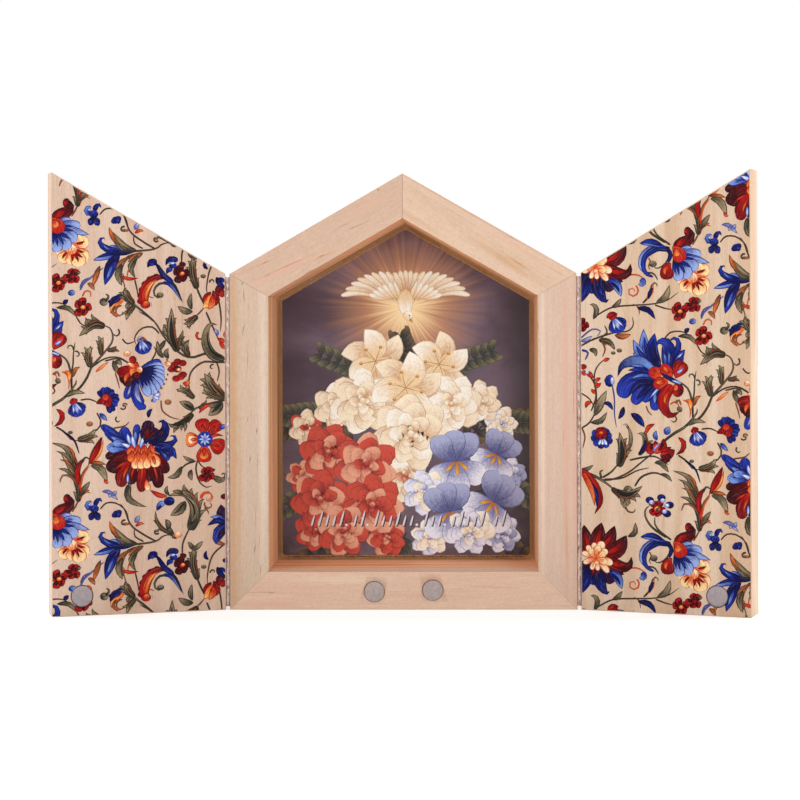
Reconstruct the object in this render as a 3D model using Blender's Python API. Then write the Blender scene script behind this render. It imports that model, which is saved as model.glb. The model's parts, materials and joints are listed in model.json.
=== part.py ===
"""A folding devotional triptych: a house-shaped wooden box frame with a picture plate at the back of
its recess, and two sloping doors that close over it on cloth hinge tapes and hold shut on disc magnets.

Metres, +Z up. +X is the viewer's right, and the viewer stands at -Y. The origin is the middle of the
frame's underside.
"""
import math

import bmesh
import bpy
from mathutils import Vector

# ---- driving dimensions -------------------------------------------------------------------------
FRAME_WIDTH = 0.100
EAVE_HEIGHT = 0.0968
ROOF_PITCH = math.radians(30)
FRAME_DEPTH = 0.028
MEMBER_WIDTH = 0.0113          # face width of the two stiles, the rail and the two rafters
ARRIS = 0.0004                 # how far a long edge is eased

RECESS_DEPTH = 0.024           # front face to the shoulder that the backboard sits on
REBATE_WIDTH = 0.004
BOARD_THICKNESS = 0.003
PLATE_THICKNESS = 0.0025
PLATE_MARGIN = 0.00175         # bare backboard that shows round the plate
PLATE_CORNER = 0.001

DOOR_THICKNESS = 0.0095
DOOR_ARRIS = 0.0003
MEETING_GAP = 0.0008           # between the two doors when both are shut
FACE_GAP = 0.0003              # between a shut door and the frame's front
HINGE_GAP = 0.0010             # between a door's edge and the frame's side when it lies open flat
LEFT_ANGLE = math.radians(17.0)    # how far each door stands forward of flat at rest
RIGHT_ANGLE = math.radians(19.5)

TAPE_THICKNESS = 0.0004
TAPE_WIDTH = 0.0085            # the leaf glued to the frame's side
TAPE_END = 0.001               # the tape stops this far short of the frame's ends

MAGNET_RADIUS = 0.003
MAGNET_THICKNESS = 0.002
MAGNET_FROM_MIDDLE = 0.0084    # centre of a frame magnet to the frame's centre line
MAGNET_SUNK = 0.0003           # how far the frame's magnets lie below its face
DOOR_MAGNET_HEIGHT = 0.0056    # centre above the base
# The magnets are let in by hand, so each side is a little different.
FRAME_MAGNET_HEIGHT = {"left": 0.0051, "right": 0.0055}
DOOR_MAGNET_FROM_EDGE = {"left": 0.0085, "right": 0.0098}

TOUCH = 0.0003                 # clearance that stands for a glued or resting joint
MAGNET_TOUCH = 0.0002          # radial clearance round a magnet

# ---- worked out from them -----------------------------------------------------------------------
HALF_WIDTH = FRAME_WIDTH / 2
APEX_HEIGHT = EAVE_HEIGHT + HALF_WIDTH * math.tan(ROOF_PITCH)
DOOR_WIDTH = HALF_WIDTH - MEETING_GAP / 2
HINGE_X = HALF_WIDTH + HINGE_GAP / 2
FRONT = -FRAME_DEPTH / 2        # the y of the frame's front face
HINGE_Y = FRONT - FACE_GAP / 2
BOARD_FRONT = FRONT + RECESS_DEPTH + TOUCH
PLATE_FRONT = BOARD_FRONT - TOUCH - PLATE_THICKNESS
PAST = 0.004                   # how far a cutter runs past what it cuts


def clear_scene():
    for found in list(bpy.data.objects):
        bpy.data.objects.remove(found, do_unlink=True)


def collection(name):
    made = bpy.data.collections.new(name)
    bpy.context.scene.collection.children.link(made)
    return made


def material(name, colour, roughness, metallic=0.0):
    made = bpy.data.materials.new(name)
    made.use_nodes = True
    shader = made.node_tree.nodes["Principled BSDF"]
    shader.inputs["Base Color"].default_value = (*colour, 1.0)
    shader.inputs["Roughness"].default_value = roughness
    shader.inputs["Metallic"].default_value = metallic
    return made


def house(inset):
    """The five corners (x, z) of the house outline, moved in by inset on every side, from the lower
    left anticlockwise as the viewer sees it."""
    side = HALF_WIDTH - inset
    apex = APEX_HEIGHT - inset / math.cos(ROOF_PITCH)
    eave = apex - side * math.tan(ROOF_PITCH)
    return [(-side, inset), (side, inset), (side, eave), (0.0, apex), (-side, eave)]


def rounded(corners, radius, steps=6):
    """The outline with each corner turned into an arc of the radius, tangent to both its sides."""
    points = []
    for index, corner in enumerate(corners):
        here = Vector(corner)
        back = (Vector(corners[index - 1]) - here).normalized()
        ahead = (Vector(corners[(index + 1) % len(corners)]) - here).normalized()
        half = back.angle(ahead) / 2
        centre = here + (back + ahead).normalized() * radius / math.sin(half)
        first = here + back * radius / math.tan(half) - centre
        turn = first.angle_signed(here + ahead * radius / math.tan(half) - centre)
        for step in range(steps + 1):
            angle = -turn * step / steps
            swung = Vector((first.x * math.cos(angle) - first.y * math.sin(angle),
                            first.x * math.sin(angle) + first.y * math.cos(angle)))
            points.append(tuple(centre + swung))
    return points


def slab(name, outlines, front, depth, into):
    """A flat outline in XZ, with any further outlines as holes, carried from front along +Y."""
    curve = bpy.data.curves.new(name, "CURVE")
    curve.dimensions = "2D"
    curve.fill_mode = "BOTH"
    curve.extrude = depth / 2
    for outline in outlines:
        spline = curve.splines.new("POLY")
        spline.points.add(len(outline) - 1)
        for point, (x, z) in zip(spline.points, outline):
            point.co = (x, z, 0.0, 1.0)
        spline.use_cyclic_u = True
    flat = bpy.data.objects.new(name + "_outline", curve)
    flat.rotation_euler = (math.pi / 2, 0.0, 0.0)
    flat.location = (0.0, front + depth / 2, 0.0)
    into.objects.link(flat)
    bpy.context.view_layer.update()
    shape = bpy.data.meshes.new_from_object(flat.evaluated_get(bpy.context.evaluated_depsgraph_get()))
    shape.transform(flat.matrix_world)
    bpy.data.objects.remove(flat, do_unlink=True)
    edit = bmesh.new()
    edit.from_mesh(shape)
    bmesh.ops.remove_doubles(edit, verts=edit.verts, dist=0.00001)
    bmesh.ops.recalc_face_normals(edit, faces=edit.faces)
    edit.to_mesh(shape)
    edit.free()
    shape.name = name
    made = bpy.data.objects.new(name, shape)
    into.objects.link(made)
    return made


def ease(piece, width, keep_sharp=lambda edge: False, segments=2):
    """Rounds a slab's edges by width, apart from those that keep_sharp names."""
    edit = bmesh.new()
    edit.from_mesh(piece.data)
    hard = [edge for edge in edit.edges if edge.is_manifold and edge.calc_face_angle() > math.radians(20)]
    worn = [edge for edge in hard if not keep_sharp(edge)]
    bmesh.ops.bevel(edit, geom=worn, offset=width, segments=segments, profile=0.5,
                    affect="EDGES", clamp_overlap=True)
    edit.to_mesh(piece.data)
    edit.free()


def runs_back(edge):
    """Whether an edge runs front to back."""
    start, end = (vertex.co for vertex in edge.verts)
    return abs(start.y - end.y) > 0.001


def as_cutter(piece, into):
    for home in list(piece.users_collection):
        home.objects.unlink(piece)
    into.objects.link(piece)
    piece.hide_render = True
    piece.display_type = "WIRE"
    return piece


def disc(name, radius, depth, front, x, z, into, segments=48):
    """A round disc whose axis runs front to back."""
    edit = bmesh.new()
    bmesh.ops.create_cone(edit, cap_ends=True, segments=segments, radius1=radius, radius2=radius,
                          depth=depth)
    shape = bpy.data.meshes.new(name)
    edit.to_mesh(shape)
    edit.free()
    made = bpy.data.objects.new(name, shape)
    made.rotation_euler = (math.pi / 2, 0.0, 0.0)
    made.location = (x, front + depth / 2, z)
    into.objects.link(made)
    return made


def boolean(piece, cutter, operation):
    cut = piece.modifiers.new(operation.title() + " " + cutter.name, "BOOLEAN")
    cut.operation = operation
    cut.solver = "EXACT"
    cut.object = cutter


def finish(piece, surface):
    piece.data.materials.clear()
    piece.data.materials.append(surface)
    return piece


def wedge(name, outer, inner, cutters):
    """The stretch of the ring between two mitres: a slab whose ends lie on the mitre lines, drawn
    back by half the glue gap, and which runs past the ring on every other side."""
    start, end = Vector(outer[0]), Vector(outer[1])
    along = (end - start).normalized()
    ends = []
    for corner, inside, sense in ((start, Vector(inner[0]), 1), (end, Vector(inner[1]), -1)):
        mitre = (inside - corner).normalized()
        lean = abs(along.x * mitre.y - along.y * mitre.x)
        moved = along * sense * TOUCH / 2 / lean
        ends.append((corner - mitre * PAST + moved, inside + mitre * PAST + moved))
    outline = [tuple(ends[0][0]), tuple(ends[1][0]), tuple(ends[1][1]), tuple(ends[0][1])]
    return as_cutter(slab(name, [outline], FRONT - PAST, FRAME_DEPTH + 2 * PAST, cutters), cutters)


def build_frame(parts, cutters, wood):
    """Five mitred members, cut from one eased ring with a rebate at its back for the backboard."""
    outer, inner = house(0.0), house(MEMBER_WIDTH)
    ring = slab("ring", [outer, inner], FRONT, FRAME_DEPTH, cutters)
    ease(ring, ARRIS, keep_sharp=runs_back)
    rebate = slab("rebate", [house(MEMBER_WIDTH - REBATE_WIDTH)], FRONT + RECESS_DEPTH,
                  FRAME_DEPTH - RECESS_DEPTH + PAST, cutters)
    as_cutter(rebate, cutters)
    names = ["frame_bottom_rail", "frame_right_stile", "frame_right_rafter", "frame_left_rafter",
             "frame_left_stile"]
    members = {}
    for index, name in enumerate(names):
        following = (index + 1) % len(outer)
        member = bpy.data.objects.new(name, ring.data.copy())
        parts.objects.link(member)
        stretch = wedge(name + "_stretch", (outer[index], outer[following]),
                        (inner[index], inner[following]), cutters)
        boolean(member, rebate, "DIFFERENCE")
        boolean(member, stretch, "INTERSECT")
        members[name] = finish(member, wood)
    bpy.data.objects.remove(ring, do_unlink=True)
    return members


def build_magnets(parts, cutters, steel, rail):
    """Two discs sunk in the bottom rail, either side of the middle."""
    for side, sense in (("left", -1), ("right", 1)):
        x = sense * MAGNET_FROM_MIDDLE
        height = FRAME_MAGNET_HEIGHT[side]
        hole = disc(f"frame_{side}_magnet_hole", MAGNET_RADIUS + MAGNET_TOUCH,
                    MAGNET_THICKNESS + MAGNET_SUNK + TOUCH + PAST, FRONT - PAST, x, height, cutters)
        boolean(rail, as_cutter(hole, cutters), "DIFFERENCE")
        finish(disc(f"frame_{side}_magnet", MAGNET_RADIUS, MAGNET_THICKNESS, FRONT + MAGNET_SUNK, x,
                    height, parts), steel)


def build_back(parts, board_wood, print_surface):
    board = slab("backboard", [house(MEMBER_WIDTH - REBATE_WIDTH + TOUCH)], BOARD_FRONT,
                 BOARD_THICKNESS, parts)
    finish(board, board_wood)
    outline = rounded(house(MEMBER_WIDTH + PLATE_MARGIN), PLATE_CORNER)
    plate = slab("picture_plate", [outline], PLATE_FRONT, PLATE_THICKNESS, parts)
    finish(plate, print_surface)


def build_door(side, sense, angle, parts, cutters, wood, steel):
    """A sloping door and its magnet, drawn open flat about the hinge axis, then swung forward."""
    hinge = bpy.data.objects.new(f"{side}_hinge_axis", None)
    hinge.location = (sense * HINGE_X, HINGE_Y, 0.0)
    hinge.rotation_euler = (0.0, 0.0, -sense * angle)
    parts.objects.link(hinge)

    near = sense * HINGE_GAP / 2
    far = near + sense * DOOR_WIDTH
    far_height = EAVE_HEIGHT + DOOR_WIDTH * math.tan(ROOF_PITCH)
    outline = [(near, 0.0), (far, 0.0), (far, far_height), (near, EAVE_HEIGHT)]
    if sense < 0:
        outline.reverse()
    face = FACE_GAP / 2
    door = slab(f"{side}_door", [outline], face, DOOR_THICKNESS, parts)
    ease(door, DOOR_ARRIS)
    x = far - sense * DOOR_MAGNET_FROM_EDGE[side]
    hole = disc(f"{side}_door_magnet_hole", MAGNET_RADIUS + MAGNET_TOUCH,
                MAGNET_THICKNESS + TOUCH + PAST, face - PAST, x, DOOR_MAGNET_HEIGHT, cutters)
    as_cutter(hole, cutters)
    magnet = disc(f"{side}_door_magnet", MAGNET_RADIUS, MAGNET_THICKNESS, face, x,
                  DOOR_MAGNET_HEIGHT, parts)
    for piece in (door, hole, magnet):
        piece.parent = hinge
    boolean(door, hole, "DIFFERENCE")
    finish(door, wood)
    finish(magnet, steel)


def build_tape(side, sense, parts, cloth):
    """The cloth hinge, as the leaf that lies along the frame's side behind the fold."""
    middle = sense * (HALF_WIDTH + HINGE_GAP / 2)
    outline = [(middle - TAPE_THICKNESS / 2, TAPE_END), (middle + TAPE_THICKNESS / 2, TAPE_END),
               (middle + TAPE_THICKNESS / 2, EAVE_HEIGHT - TAPE_END),
               (middle - TAPE_THICKNESS / 2, EAVE_HEIGHT - TAPE_END)]
    finish(slab(f"{side}_hinge_tape", [outline], FRONT + TOUCH, TAPE_WIDTH, parts), cloth)


def main():
    clear_scene()
    parts = collection("devotional_triptych")
    cutters = collection("cutters")
    pale_wood = material("pale_wood", (0.730, 0.514, 0.376), 0.55)
    board_wood = material("backboard_wood", (0.46, 0.27, 0.15), 0.6)
    picture = material("picture_print", (0.15, 0.09, 0.12), 0.4)
    steel = material("magnet_steel", (0.43, 0.38, 0.38), 0.4, metallic=1.0)
    cloth = material("hinge_cloth", (0.72, 0.62, 0.58), 0.9)

    members = build_frame(parts, cutters, pale_wood)
    build_magnets(parts, cutters, steel, members["frame_bottom_rail"])
    build_back(parts, board_wood, picture)
    for side, sense, angle in (("left", -1, LEFT_ANGLE), ("right", 1, RIGHT_ANGLE)):
        build_door(side, sense, angle, parts, cutters, pale_wood, steel)
        build_tape(side, sense, parts, cloth)


main()
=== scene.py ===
"""A folding devotional triptych in pale wood: the looks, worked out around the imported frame."""

import json
import math

import bmesh
import bpy
import numpy as np
from mathutils import Matrix, Vector


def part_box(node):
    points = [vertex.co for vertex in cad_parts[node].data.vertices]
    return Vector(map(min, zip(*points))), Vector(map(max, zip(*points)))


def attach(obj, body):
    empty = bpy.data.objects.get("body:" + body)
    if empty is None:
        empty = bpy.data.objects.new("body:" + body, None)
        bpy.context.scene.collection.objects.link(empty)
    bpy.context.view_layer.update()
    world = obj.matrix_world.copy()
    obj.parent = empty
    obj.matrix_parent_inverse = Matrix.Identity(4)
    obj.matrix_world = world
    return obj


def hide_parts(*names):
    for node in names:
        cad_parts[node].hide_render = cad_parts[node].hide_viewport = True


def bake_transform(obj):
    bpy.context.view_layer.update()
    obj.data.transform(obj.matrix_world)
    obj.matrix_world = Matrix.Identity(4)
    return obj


# %% [markdown]
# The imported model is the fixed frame: a house-shaped box frame, two doors on cloth hinges, a picture
# plate on a backboard, and four small disc magnets. Everything below is placed from its boxes, so a
# change of size there carries through to the looks.

# %% Load the frame
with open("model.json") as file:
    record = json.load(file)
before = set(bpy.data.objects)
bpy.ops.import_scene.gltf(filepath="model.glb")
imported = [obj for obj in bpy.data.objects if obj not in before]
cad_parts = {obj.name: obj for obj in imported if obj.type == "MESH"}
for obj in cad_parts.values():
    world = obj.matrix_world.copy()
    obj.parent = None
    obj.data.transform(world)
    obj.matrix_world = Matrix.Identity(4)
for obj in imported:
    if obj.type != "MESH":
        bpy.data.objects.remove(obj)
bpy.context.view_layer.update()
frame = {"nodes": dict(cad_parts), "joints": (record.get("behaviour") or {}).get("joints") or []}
scene = bpy.context.scene
MM = 0.001
SIDES = {"left": -1, "right": 1}


# %% [markdown]
# A few short helpers come first. A grid of points is the raw material of nearly every piece here: a
# function of two parameters gives rows and columns of points, and the faces join each point to its
# neighbours. Making whole arrays at once is both quicker and easier to read than placing points.

# %% Grids and meshes
def box_mm(node):
    """The lowest and highest corner of a frame node, in millimetres."""
    low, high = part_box(node)
    return np.array(low) / MM, np.array(high) / MM


def middle_mm(node):
    """The middle of a frame node's box, in millimetres."""
    return sum(box_mm(node)) / 2


def grid_faces(rows, columns, wrap=False):
    """Quads over a rows by columns grid: each joins (r, c), (r, c+1), (r+1, c+1) and (r+1, c)."""
    index = np.arange(rows * columns).reshape(rows, columns)
    right = np.roll(index, -1, axis=1) if wrap else index[:, 1:]
    left = index if wrap else index[:, :-1]
    return np.stack([left[:-1], right[:-1], right[1:], left[1:]], -1).reshape(-1, 4)


def make_mesh(name, points, faces, material=None, smooth=True):
    """A mesh object from points in millimetres, a list of face arrays, and one material."""
    mesh = bpy.data.meshes.new(name)
    polygons = [list(map(int, face)) for block in faces for face in block]
    mesh.from_pydata(np.asarray(points, float).reshape(-1, 3) * MM, [], polygons)
    mesh.update()
    if smooth:
        mesh.shade_smooth()
    piece = bpy.data.objects.new(name, mesh)
    scene.collection.objects.link(piece)
    if material is not None:
        mesh.materials.append(material)
    return piece


def set_uv(mesh, name, per_vertex):
    """A UV map from one (u, v) for each vertex."""
    corner = np.zeros(len(mesh.loops), np.int32)
    mesh.loops.foreach_get("vertex_index", corner)
    mesh.uv_layers.new(name=name).data.foreach_set("uv", per_vertex[corner].astype(np.float32).ravel())


def face_outwards(piece, sharp=35):
    """Turns a closed mesh's faces outwards and keeps edges sharper than the angle crisp."""
    edit = bmesh.new()
    edit.from_mesh(piece.data)
    bmesh.ops.recalc_face_normals(edit, faces=edit.faces)
    edit.to_mesh(piece.data)
    edit.free()
    piece.data.shade_smooth()
    piece.data.set_sharp_from_angle(angle=math.radians(sharp))
    return piece


def bake_modifiers(piece):
    """Puts the shape that a piece's modifiers make into its mesh."""
    bpy.context.view_layer.update()
    shape = piece.evaluated_get(bpy.context.evaluated_depsgraph_get())
    mesh = bpy.data.meshes.new_from_object(shape)
    piece.modifiers.clear()
    piece.data = mesh


def dress(node, material):
    """Gives a CAD solid its one material."""
    materials = frame["nodes"][node].data.materials
    materials.clear()
    materials.append(material)


def bearing(degrees):
    """The unit vector at an angle."""
    return np.array([math.cos(math.radians(degrees)), math.sin(math.radians(degrees))])


def smoothstep(low, high, value):
    """0 below low, 1 above high, and an S-shaped rise between them."""
    t = np.clip((value - low) / (high - low), 0, 1)
    return t * t * (3 - 2 * t)


# %% [markdown]
# Materials are node trees, and most of them start the same way: a texture needs a coordinate, a scale
# along each axis and a threshold. These wrappers keep each material down to the lines that matter.

# %% Node helpers
def linear(red, green, blue):
    """A shader colour from everyday 0 to 255 screen values, by the sRGB curve."""
    screen = np.array([red, green, blue]) / 255
    low, high = screen / 12.92, ((screen + 0.055) / 1.055) ** 2.4
    return (*np.where(screen <= 0.04045, low, high), 1.0)


class Nodes:
    """Adds nodes to one tree: each call takes sockets or plain values and returns an output."""

    def __init__(self, tree):
        self.tree = tree

    def add(self, kind, output=0, settings=(), **inputs):
        node = self.tree.nodes.new("ShaderNode" + kind)
        for name, value in dict(settings).items():
            setattr(node, name, value)
        for name, value in inputs.items():
            key = int(name[1:]) if name[0] == "i" and name[1:].isdigit() else name.replace("_", " ")
            self.feed(node.inputs[key], value)
        return node.outputs[output]

    def feed(self, socket, value):
        if isinstance(value, bpy.types.NodeSocket):
            self.tree.links.new(value, socket)
        else:
            socket.default_value = value

    def math(self, operation, first, second=0.5, third=0.5):
        return self.add("Math", 0, {"operation": operation}, i0=first, i1=second, i2=third)

    def times(self, first, second):
        return self.math("MULTIPLY", first, second)

    def plus(self, first, second):
        return self.math("ADD", first, second)

    def minus(self, first, second):
        return self.math("SUBTRACT", first, second)

    def line(self, value, slope, start):
        """The value times a slope, plus a start."""
        return self.math("MULTIPLY_ADD", value, slope, start)

    def scaled(self, vector, scale):
        """A vector times a scale for each axis."""
        return self.add("VectorMath", 0, {"operation": "MULTIPLY"}, i0=vector, i1=scale)

    def mix(self, factor, first, second, blend="MIX"):
        settings = {"data_type": "RGBA", "blend_type": blend}
        return self.add("Mix", 2, settings, i0=factor, i6=first, i7=second)

    def noise(self, vector, scale=1.0, detail=2.0, roughness=0.5, distortion=0.0):
        return self.add("TexNoise", Vector=vector, Scale=scale, Detail=detail,
                        Roughness=roughness, Distortion=distortion)

    def place(self):
        """The object's own coordinates."""
        return self.add("TexCoord", 3)

    def part(self, vector, axis):
        """One component of a vector."""
        return self.add("SeparateXYZ", axis, Vector=vector)

    def shade(self, colour, level):
        """The colour times a grey level."""
        grey = self.add("CombineXYZ", X=level, Y=level, Z=level)
        return self.mix(1.0, colour, grey, "MULTIPLY")

    def bump(self, shader, height, strength, distance):
        """Feeds a shader's normal from a height."""
        relief = self.add("Bump", Strength=strength, Distance=distance, Height=height)
        self.feed(shader["Normal"], relief)

    def ramp(self, value, low, high):
        """Rises from 0 at low to 1 at high, in an S."""
        settings = {"interpolation_type": "SMOOTHSTEP"}
        return self.add("MapRange", 0, settings, Value=value, From_Min=low, From_Max=high)


# %% [markdown]
# A recipe that several materials share goes into a node group, which is to shading what a function is
# to code: it is worked out once and takes its own numbers wherever it is used.

# %% Groups and materials
def new_group(name, inputs, outputs):
    """A shader node group: inputs are (name, kind, default), outputs are (name, kind)."""
    group = bpy.data.node_groups.new(name, "ShaderNodeTree")
    for socket, kind, default in inputs:
        made = group.interface.new_socket(name=socket, in_out="INPUT", socket_type="NodeSocket" + kind)
        made.default_value = default
    for socket, kind in outputs:
        group.interface.new_socket(name=socket, in_out="OUTPUT", socket_type="NodeSocket" + kind)
    source = group.nodes.new("NodeGroupInput").outputs
    sink = group.nodes.new("NodeGroupOutput").inputs
    return group, Nodes(group), source, sink


def new_material(name, roughness=0.6, metallic=0.0):
    """A material with its Principled shader, its node wrapper, and the shader's inputs."""
    made = bpy.data.materials.new(name)
    made.use_nodes = True
    shader = made.node_tree.nodes["Principled BSDF"]
    shader.inputs["Roughness"].default_value = roughness
    shader.inputs["Metallic"].default_value = metallic
    return made, Nodes(made.node_tree), shader.inputs


def use_group(nodes, group, **inputs):
    """Places a group in a tree and returns the node, so that each of its outputs can be read."""
    node = nodes.tree.nodes.new("ShaderNodeGroup")
    node.node_tree = group
    for name, value in inputs.items():
        nodes.feed(node.inputs[name.replace("_", " ")], value)
    return node


# %% [markdown]
# The object stands on a plain pale sweep and is seen from straight in front, a little right of centre
# and at about two thirds of its height. A long lens from 60 cm keeps the door edges nearly parallel.
# The camera's own slight turns are kept, so that the two doors open at unlike angles as they should.

# %% Camera
EYE = np.array([23.84, -614.0, 86.32])
LENS = 93.9
YAW, PITCH, ROLL = math.radians(0.976), math.radians(0.258), math.radians(0.161)

turn = Matrix.Rotation(YAW, 3, "Z") @ Matrix.Rotation(PITCH, 3, "X") @ Matrix.Rotation(ROLL, 3, "Y")
right, ahead, up = (turn @ Vector(axis) for axis in ((1, 0, 0), (0, 1, 0), (0, 0, 1)))
camera_data = bpy.data.cameras.new("camera")
camera_data.lens = LENS
camera_data.shift_x, camera_data.shift_y = -0.0625, -0.125
camera_data.clip_start = 0.01
camera = bpy.data.objects.new("camera", camera_data)
camera.matrix_world = Matrix.Translation(Vector(EYE * MM)) @ Matrix((right, up, -ahead)).transposed().to_4x4()
scene.collection.objects.link(camera)
scene.camera = camera

# %% [markdown]
# Studio light for a small product: a softbox in front on either side, a panel beside and slightly
# behind on either side, which brighten the outer ends but leave the recess in shade, and a large one
# overhead. The world is white to the eye and dimmer as a light, so the shadows stay soft but present.

# %% Floor and light
GLOW = 0.45
u, v = np.meshgrid(np.linspace(-4000, 4000, 9), np.linspace(-2500, 2500, 9))
paper, n, shader = new_material("pale_floor", roughness=0.75)
grain = n.noise(n.place(), scale=900, detail=3)
n.feed(shader["Base Color"], n.mix(grain, (0.88, 0.875, 0.87, 1), (0.92, 0.918, 0.915, 1)))
shader["Emission Color"].default_value = (1, 1, 1, 1)
seen = n.add("LightPath", "Is Camera Ray")
n.feed(shader["Emission Strength"], n.times(seen, GLOW))
floor = make_mesh("floor", np.stack([u, v, 0 * u], -1), [grid_faces(9, 9)], paper)


def area_light(name, place, size, power):
    """A square soft light at a place in millimetres, facing the middle of the object."""
    data = bpy.data.lights.new(name, "AREA")
    data.shape = "RECTANGLE"
    data.size, data.size_y = size
    data.energy = power
    light = bpy.data.objects.new(name, data)
    light.location = Vector(place) * MM
    light.rotation_euler = (Vector((0, 0, 0.06)) - light.location).to_track_quat("-Z", "Y").to_euler()
    scene.collection.objects.link(light)
    return light


area_light("left_softbox", (-760, -860, 500), (0.9, 0.8), 3.3)
area_light("right_softbox", (760, -860, 500), (0.9, 0.8), 3.1)
area_light("left_panel", (-900, 250, 350), (0.5, 0.9), 2.3)
area_light("right_panel", (900, 250, 350), (0.5, 0.9), 3.2)
overhead = area_light("overhead_panel", (0, 1500, 1500), (3.0, 2.6), 60.0)
overhead.rotation_euler = (0, 0, 0)

world = bpy.data.worlds.new("studio")
world.use_nodes = True
scene.world = world
sky = Nodes(world.node_tree)
seen = sky.add("LightPath", "Is Camera Ray")
backdrop = world.node_tree.nodes["Background"].inputs
backdrop["Color"].default_value = (1, 1, 1, 1)
sky.feed(backdrop["Strength"], sky.line(seen, GLOW, 1 - GLOW))
scene.view_settings.view_transform = "Standard"
print("camera", tuple(round(c, 4) for c in camera.location), "lens", LENS)


# %% [markdown]
# Every wooden part is cut from the same pale, fine-grained timber. Wood is long fibres: noise that is
# stretched along the grain gives fibres, pores and brown streaks at once, by only changing how fine
# and how long it is. The group reads a grain coordinate in metres: x across the board from its outer
# edge, y into its depth and z along its length. The same group serves boards that run every way.

# %% Wood
wood, g, given, result = new_group(
    "wood_grain",
    [("Grain", "Vector", (0, 0, 0)), ("Pale", "Color", linear(228, 198, 171)),
     ("Warm", "Color", linear(214, 176, 141)), ("Streak", "Color", linear(146, 92, 58)),
     ("Bands", "Float", 0.5), ("Pores", "Float", 0.5), ("Streaks", "Float", 0.5)],
    [("Color", "Color"), ("Roughness", "Float"), ("Height", "Float")])


def stretched(across, depth, along):
    """The grain coordinate scaled by so many cycles a metre on each axis."""
    return g.scaled(given["Grain"], (across, depth, along))


sway = g.noise(stretched(60, 60, 14), detail=1)
bend = g.add("CombineXYZ", X=g.times(sway, 2.4))
ring = g.add("VectorMath", i0=stretched(190, 120, 4), i1=bend)
band = g.ramp(g.noise(ring, detail=2, roughness=0.45), 0.34, 0.66)
fibre = g.noise(stretched(3600, 3600, 110), detail=3, roughness=0.6)
fuzz = g.noise(stretched(2300, 2300, 1150), detail=2, roughness=0.7)
pore = g.ramp(g.noise(stretched(2400, 2400, 260), detail=1.5), 0.66, 0.76)
rare = g.ramp(g.noise(stretched(120, 120, 30), detail=1), 0.52, 0.66)
streak = g.times(g.ramp(g.noise(stretched(1100, 1100, 55), detail=2), 0.60, 0.74), rare)

tone = g.mix(g.times(band, given["Bands"]), given["Pale"], given["Warm"])
lift = g.line(fibre, 0.30, g.line(fuzz, 0.34, 0.68))
tone = g.mix(g.times(pore, given["Pores"]), g.shade(tone, lift), given["Streak"])
tone = g.mix(g.times(streak, given["Streaks"]), tone, given["Streak"])
g.feed(result["Color"], tone)
g.feed(result["Roughness"], g.line(fibre, 0.18, 0.50))
g.feed(result["Height"], g.minus(fibre, g.times(pore, 0.8)))
print("wood", len(wood.nodes), "nodes")

# %% [markdown]
# Real boards have marks of their own: a reddish streak, an amber knot, a dark scratch. One more group
# draws any of them as a soft ellipse that lies along the grain, so a board's marks are a short table.

# %% Marks and boards
mark, g, given, result = new_group(
    "wood_mark",
    [("Grain", "Vector", (0, 0, 0)), ("Across", "Float", 5), ("Along", "Float", 0),
     ("Width", "Float", 0.2), ("Length", "Float", 2), ("Lean", "Float", 0), ("Amount", "Float", 1)],
    [("Mask", "Float")])
inset = g.times(g.part(given["Grain"], 0), 1 / MM)
along = g.times(g.part(given["Grain"], 2), 1 / MM)
run = g.minus(along, given["Along"])
aside = g.minus(g.minus(inset, given["Across"]), g.times(run, given["Lean"]))
waver = g.noise(g.scaled(given["Grain"], (900, 900, 330)), detail=2)
aside = g.plus(aside, g.times(g.minus(waver, 0.5), g.times(given["Width"], 1.6)))
wide, long = (g.math("POWER", g.math("ABSOLUTE", g.math("DIVIDE", part, given[whole])), 2.0)
              for part, whole in ((aside, "Width"), (run, "Length")))
faded = g.math("EXPONENT", g.times(g.plus(wide, long), -1.0))
g.feed(result["Mask"], g.times(faded, given["Amount"]))
MARK_INKS = {"dark": linear(84, 58, 48), "red": linear(172, 92, 70), "amber": linear(196, 142, 88),
             "rosy": linear(222, 172, 146), "cream": linear(246, 226, 200)}
print("a mark", len(mark.nodes), "nodes")


def wood_material(name, turn, shift, recess_shade_inset=None, figure="", **finish):
    """Bare wood. turn and shift bring the object's coordinates to the board's grain; the next argument is the
    distance across the board past which its face lies inside the recess and is painted darker and redder:
    partly the inner faces' own browner wood, partly painted shade and warm bounced light.
    figure lists this board's own marks between slashes: ink, millimetres across and along, half width,
    half length, lean and amount."""
    made, n, shader = new_material(name)
    grain = n.add("Mapping", Vector=n.place(), Location=shift, Rotation=turn)
    node = use_group(n, wood, Grain=grain, **finish)
    colour = node.outputs["Color"]
    for row in filter(None, figure.split("/")):
        ink, *sizes = row.split()
        across, along, width, length, lean, amount = map(float, sizes)
        spot = use_group(n, mark, Grain=grain, Across=across, Along=along + shift[2] / MM, Width=width,
                         Length=length, Lean=lean, Amount=amount)
        colour = n.mix(spot.outputs["Mask"], colour, MARK_INKS[ink])
    # Past that inset the colour is multiplied by a warm tint that wanders with the grain, mostly darker and
    # redder and lighter in places: partly the inner faces' own browner wood, partly painted shade and warm
    # bounced light of the recess.
    if recess_shade_inset is not None:
        inside = n.ramp(n.part(grain, 0), (recess_shade_inset - 0.2) * MM, (recess_shade_inset - 0.04) * MM)
        layer = n.ramp(n.noise(n.scaled(grain, (60, 420, 9)), detail=2), 0.40, 0.66)
        brown = n.mix(layer, (1.32, 1.07, 0.82, 1), (0.90, 0.65, 0.43, 1))
        colour = n.mix(inside, colour, n.mix(1.0, colour, brown, "MULTIPLY"))
    n.feed(shader["Base Color"], colour)
    n.feed(shader["Roughness"], node.outputs["Roughness"])
    n.bump(shader, node.outputs["Height"], 0.25, 0.00006)
    shader["Specular IOR Level"].default_value = 0.35
    return made


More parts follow.
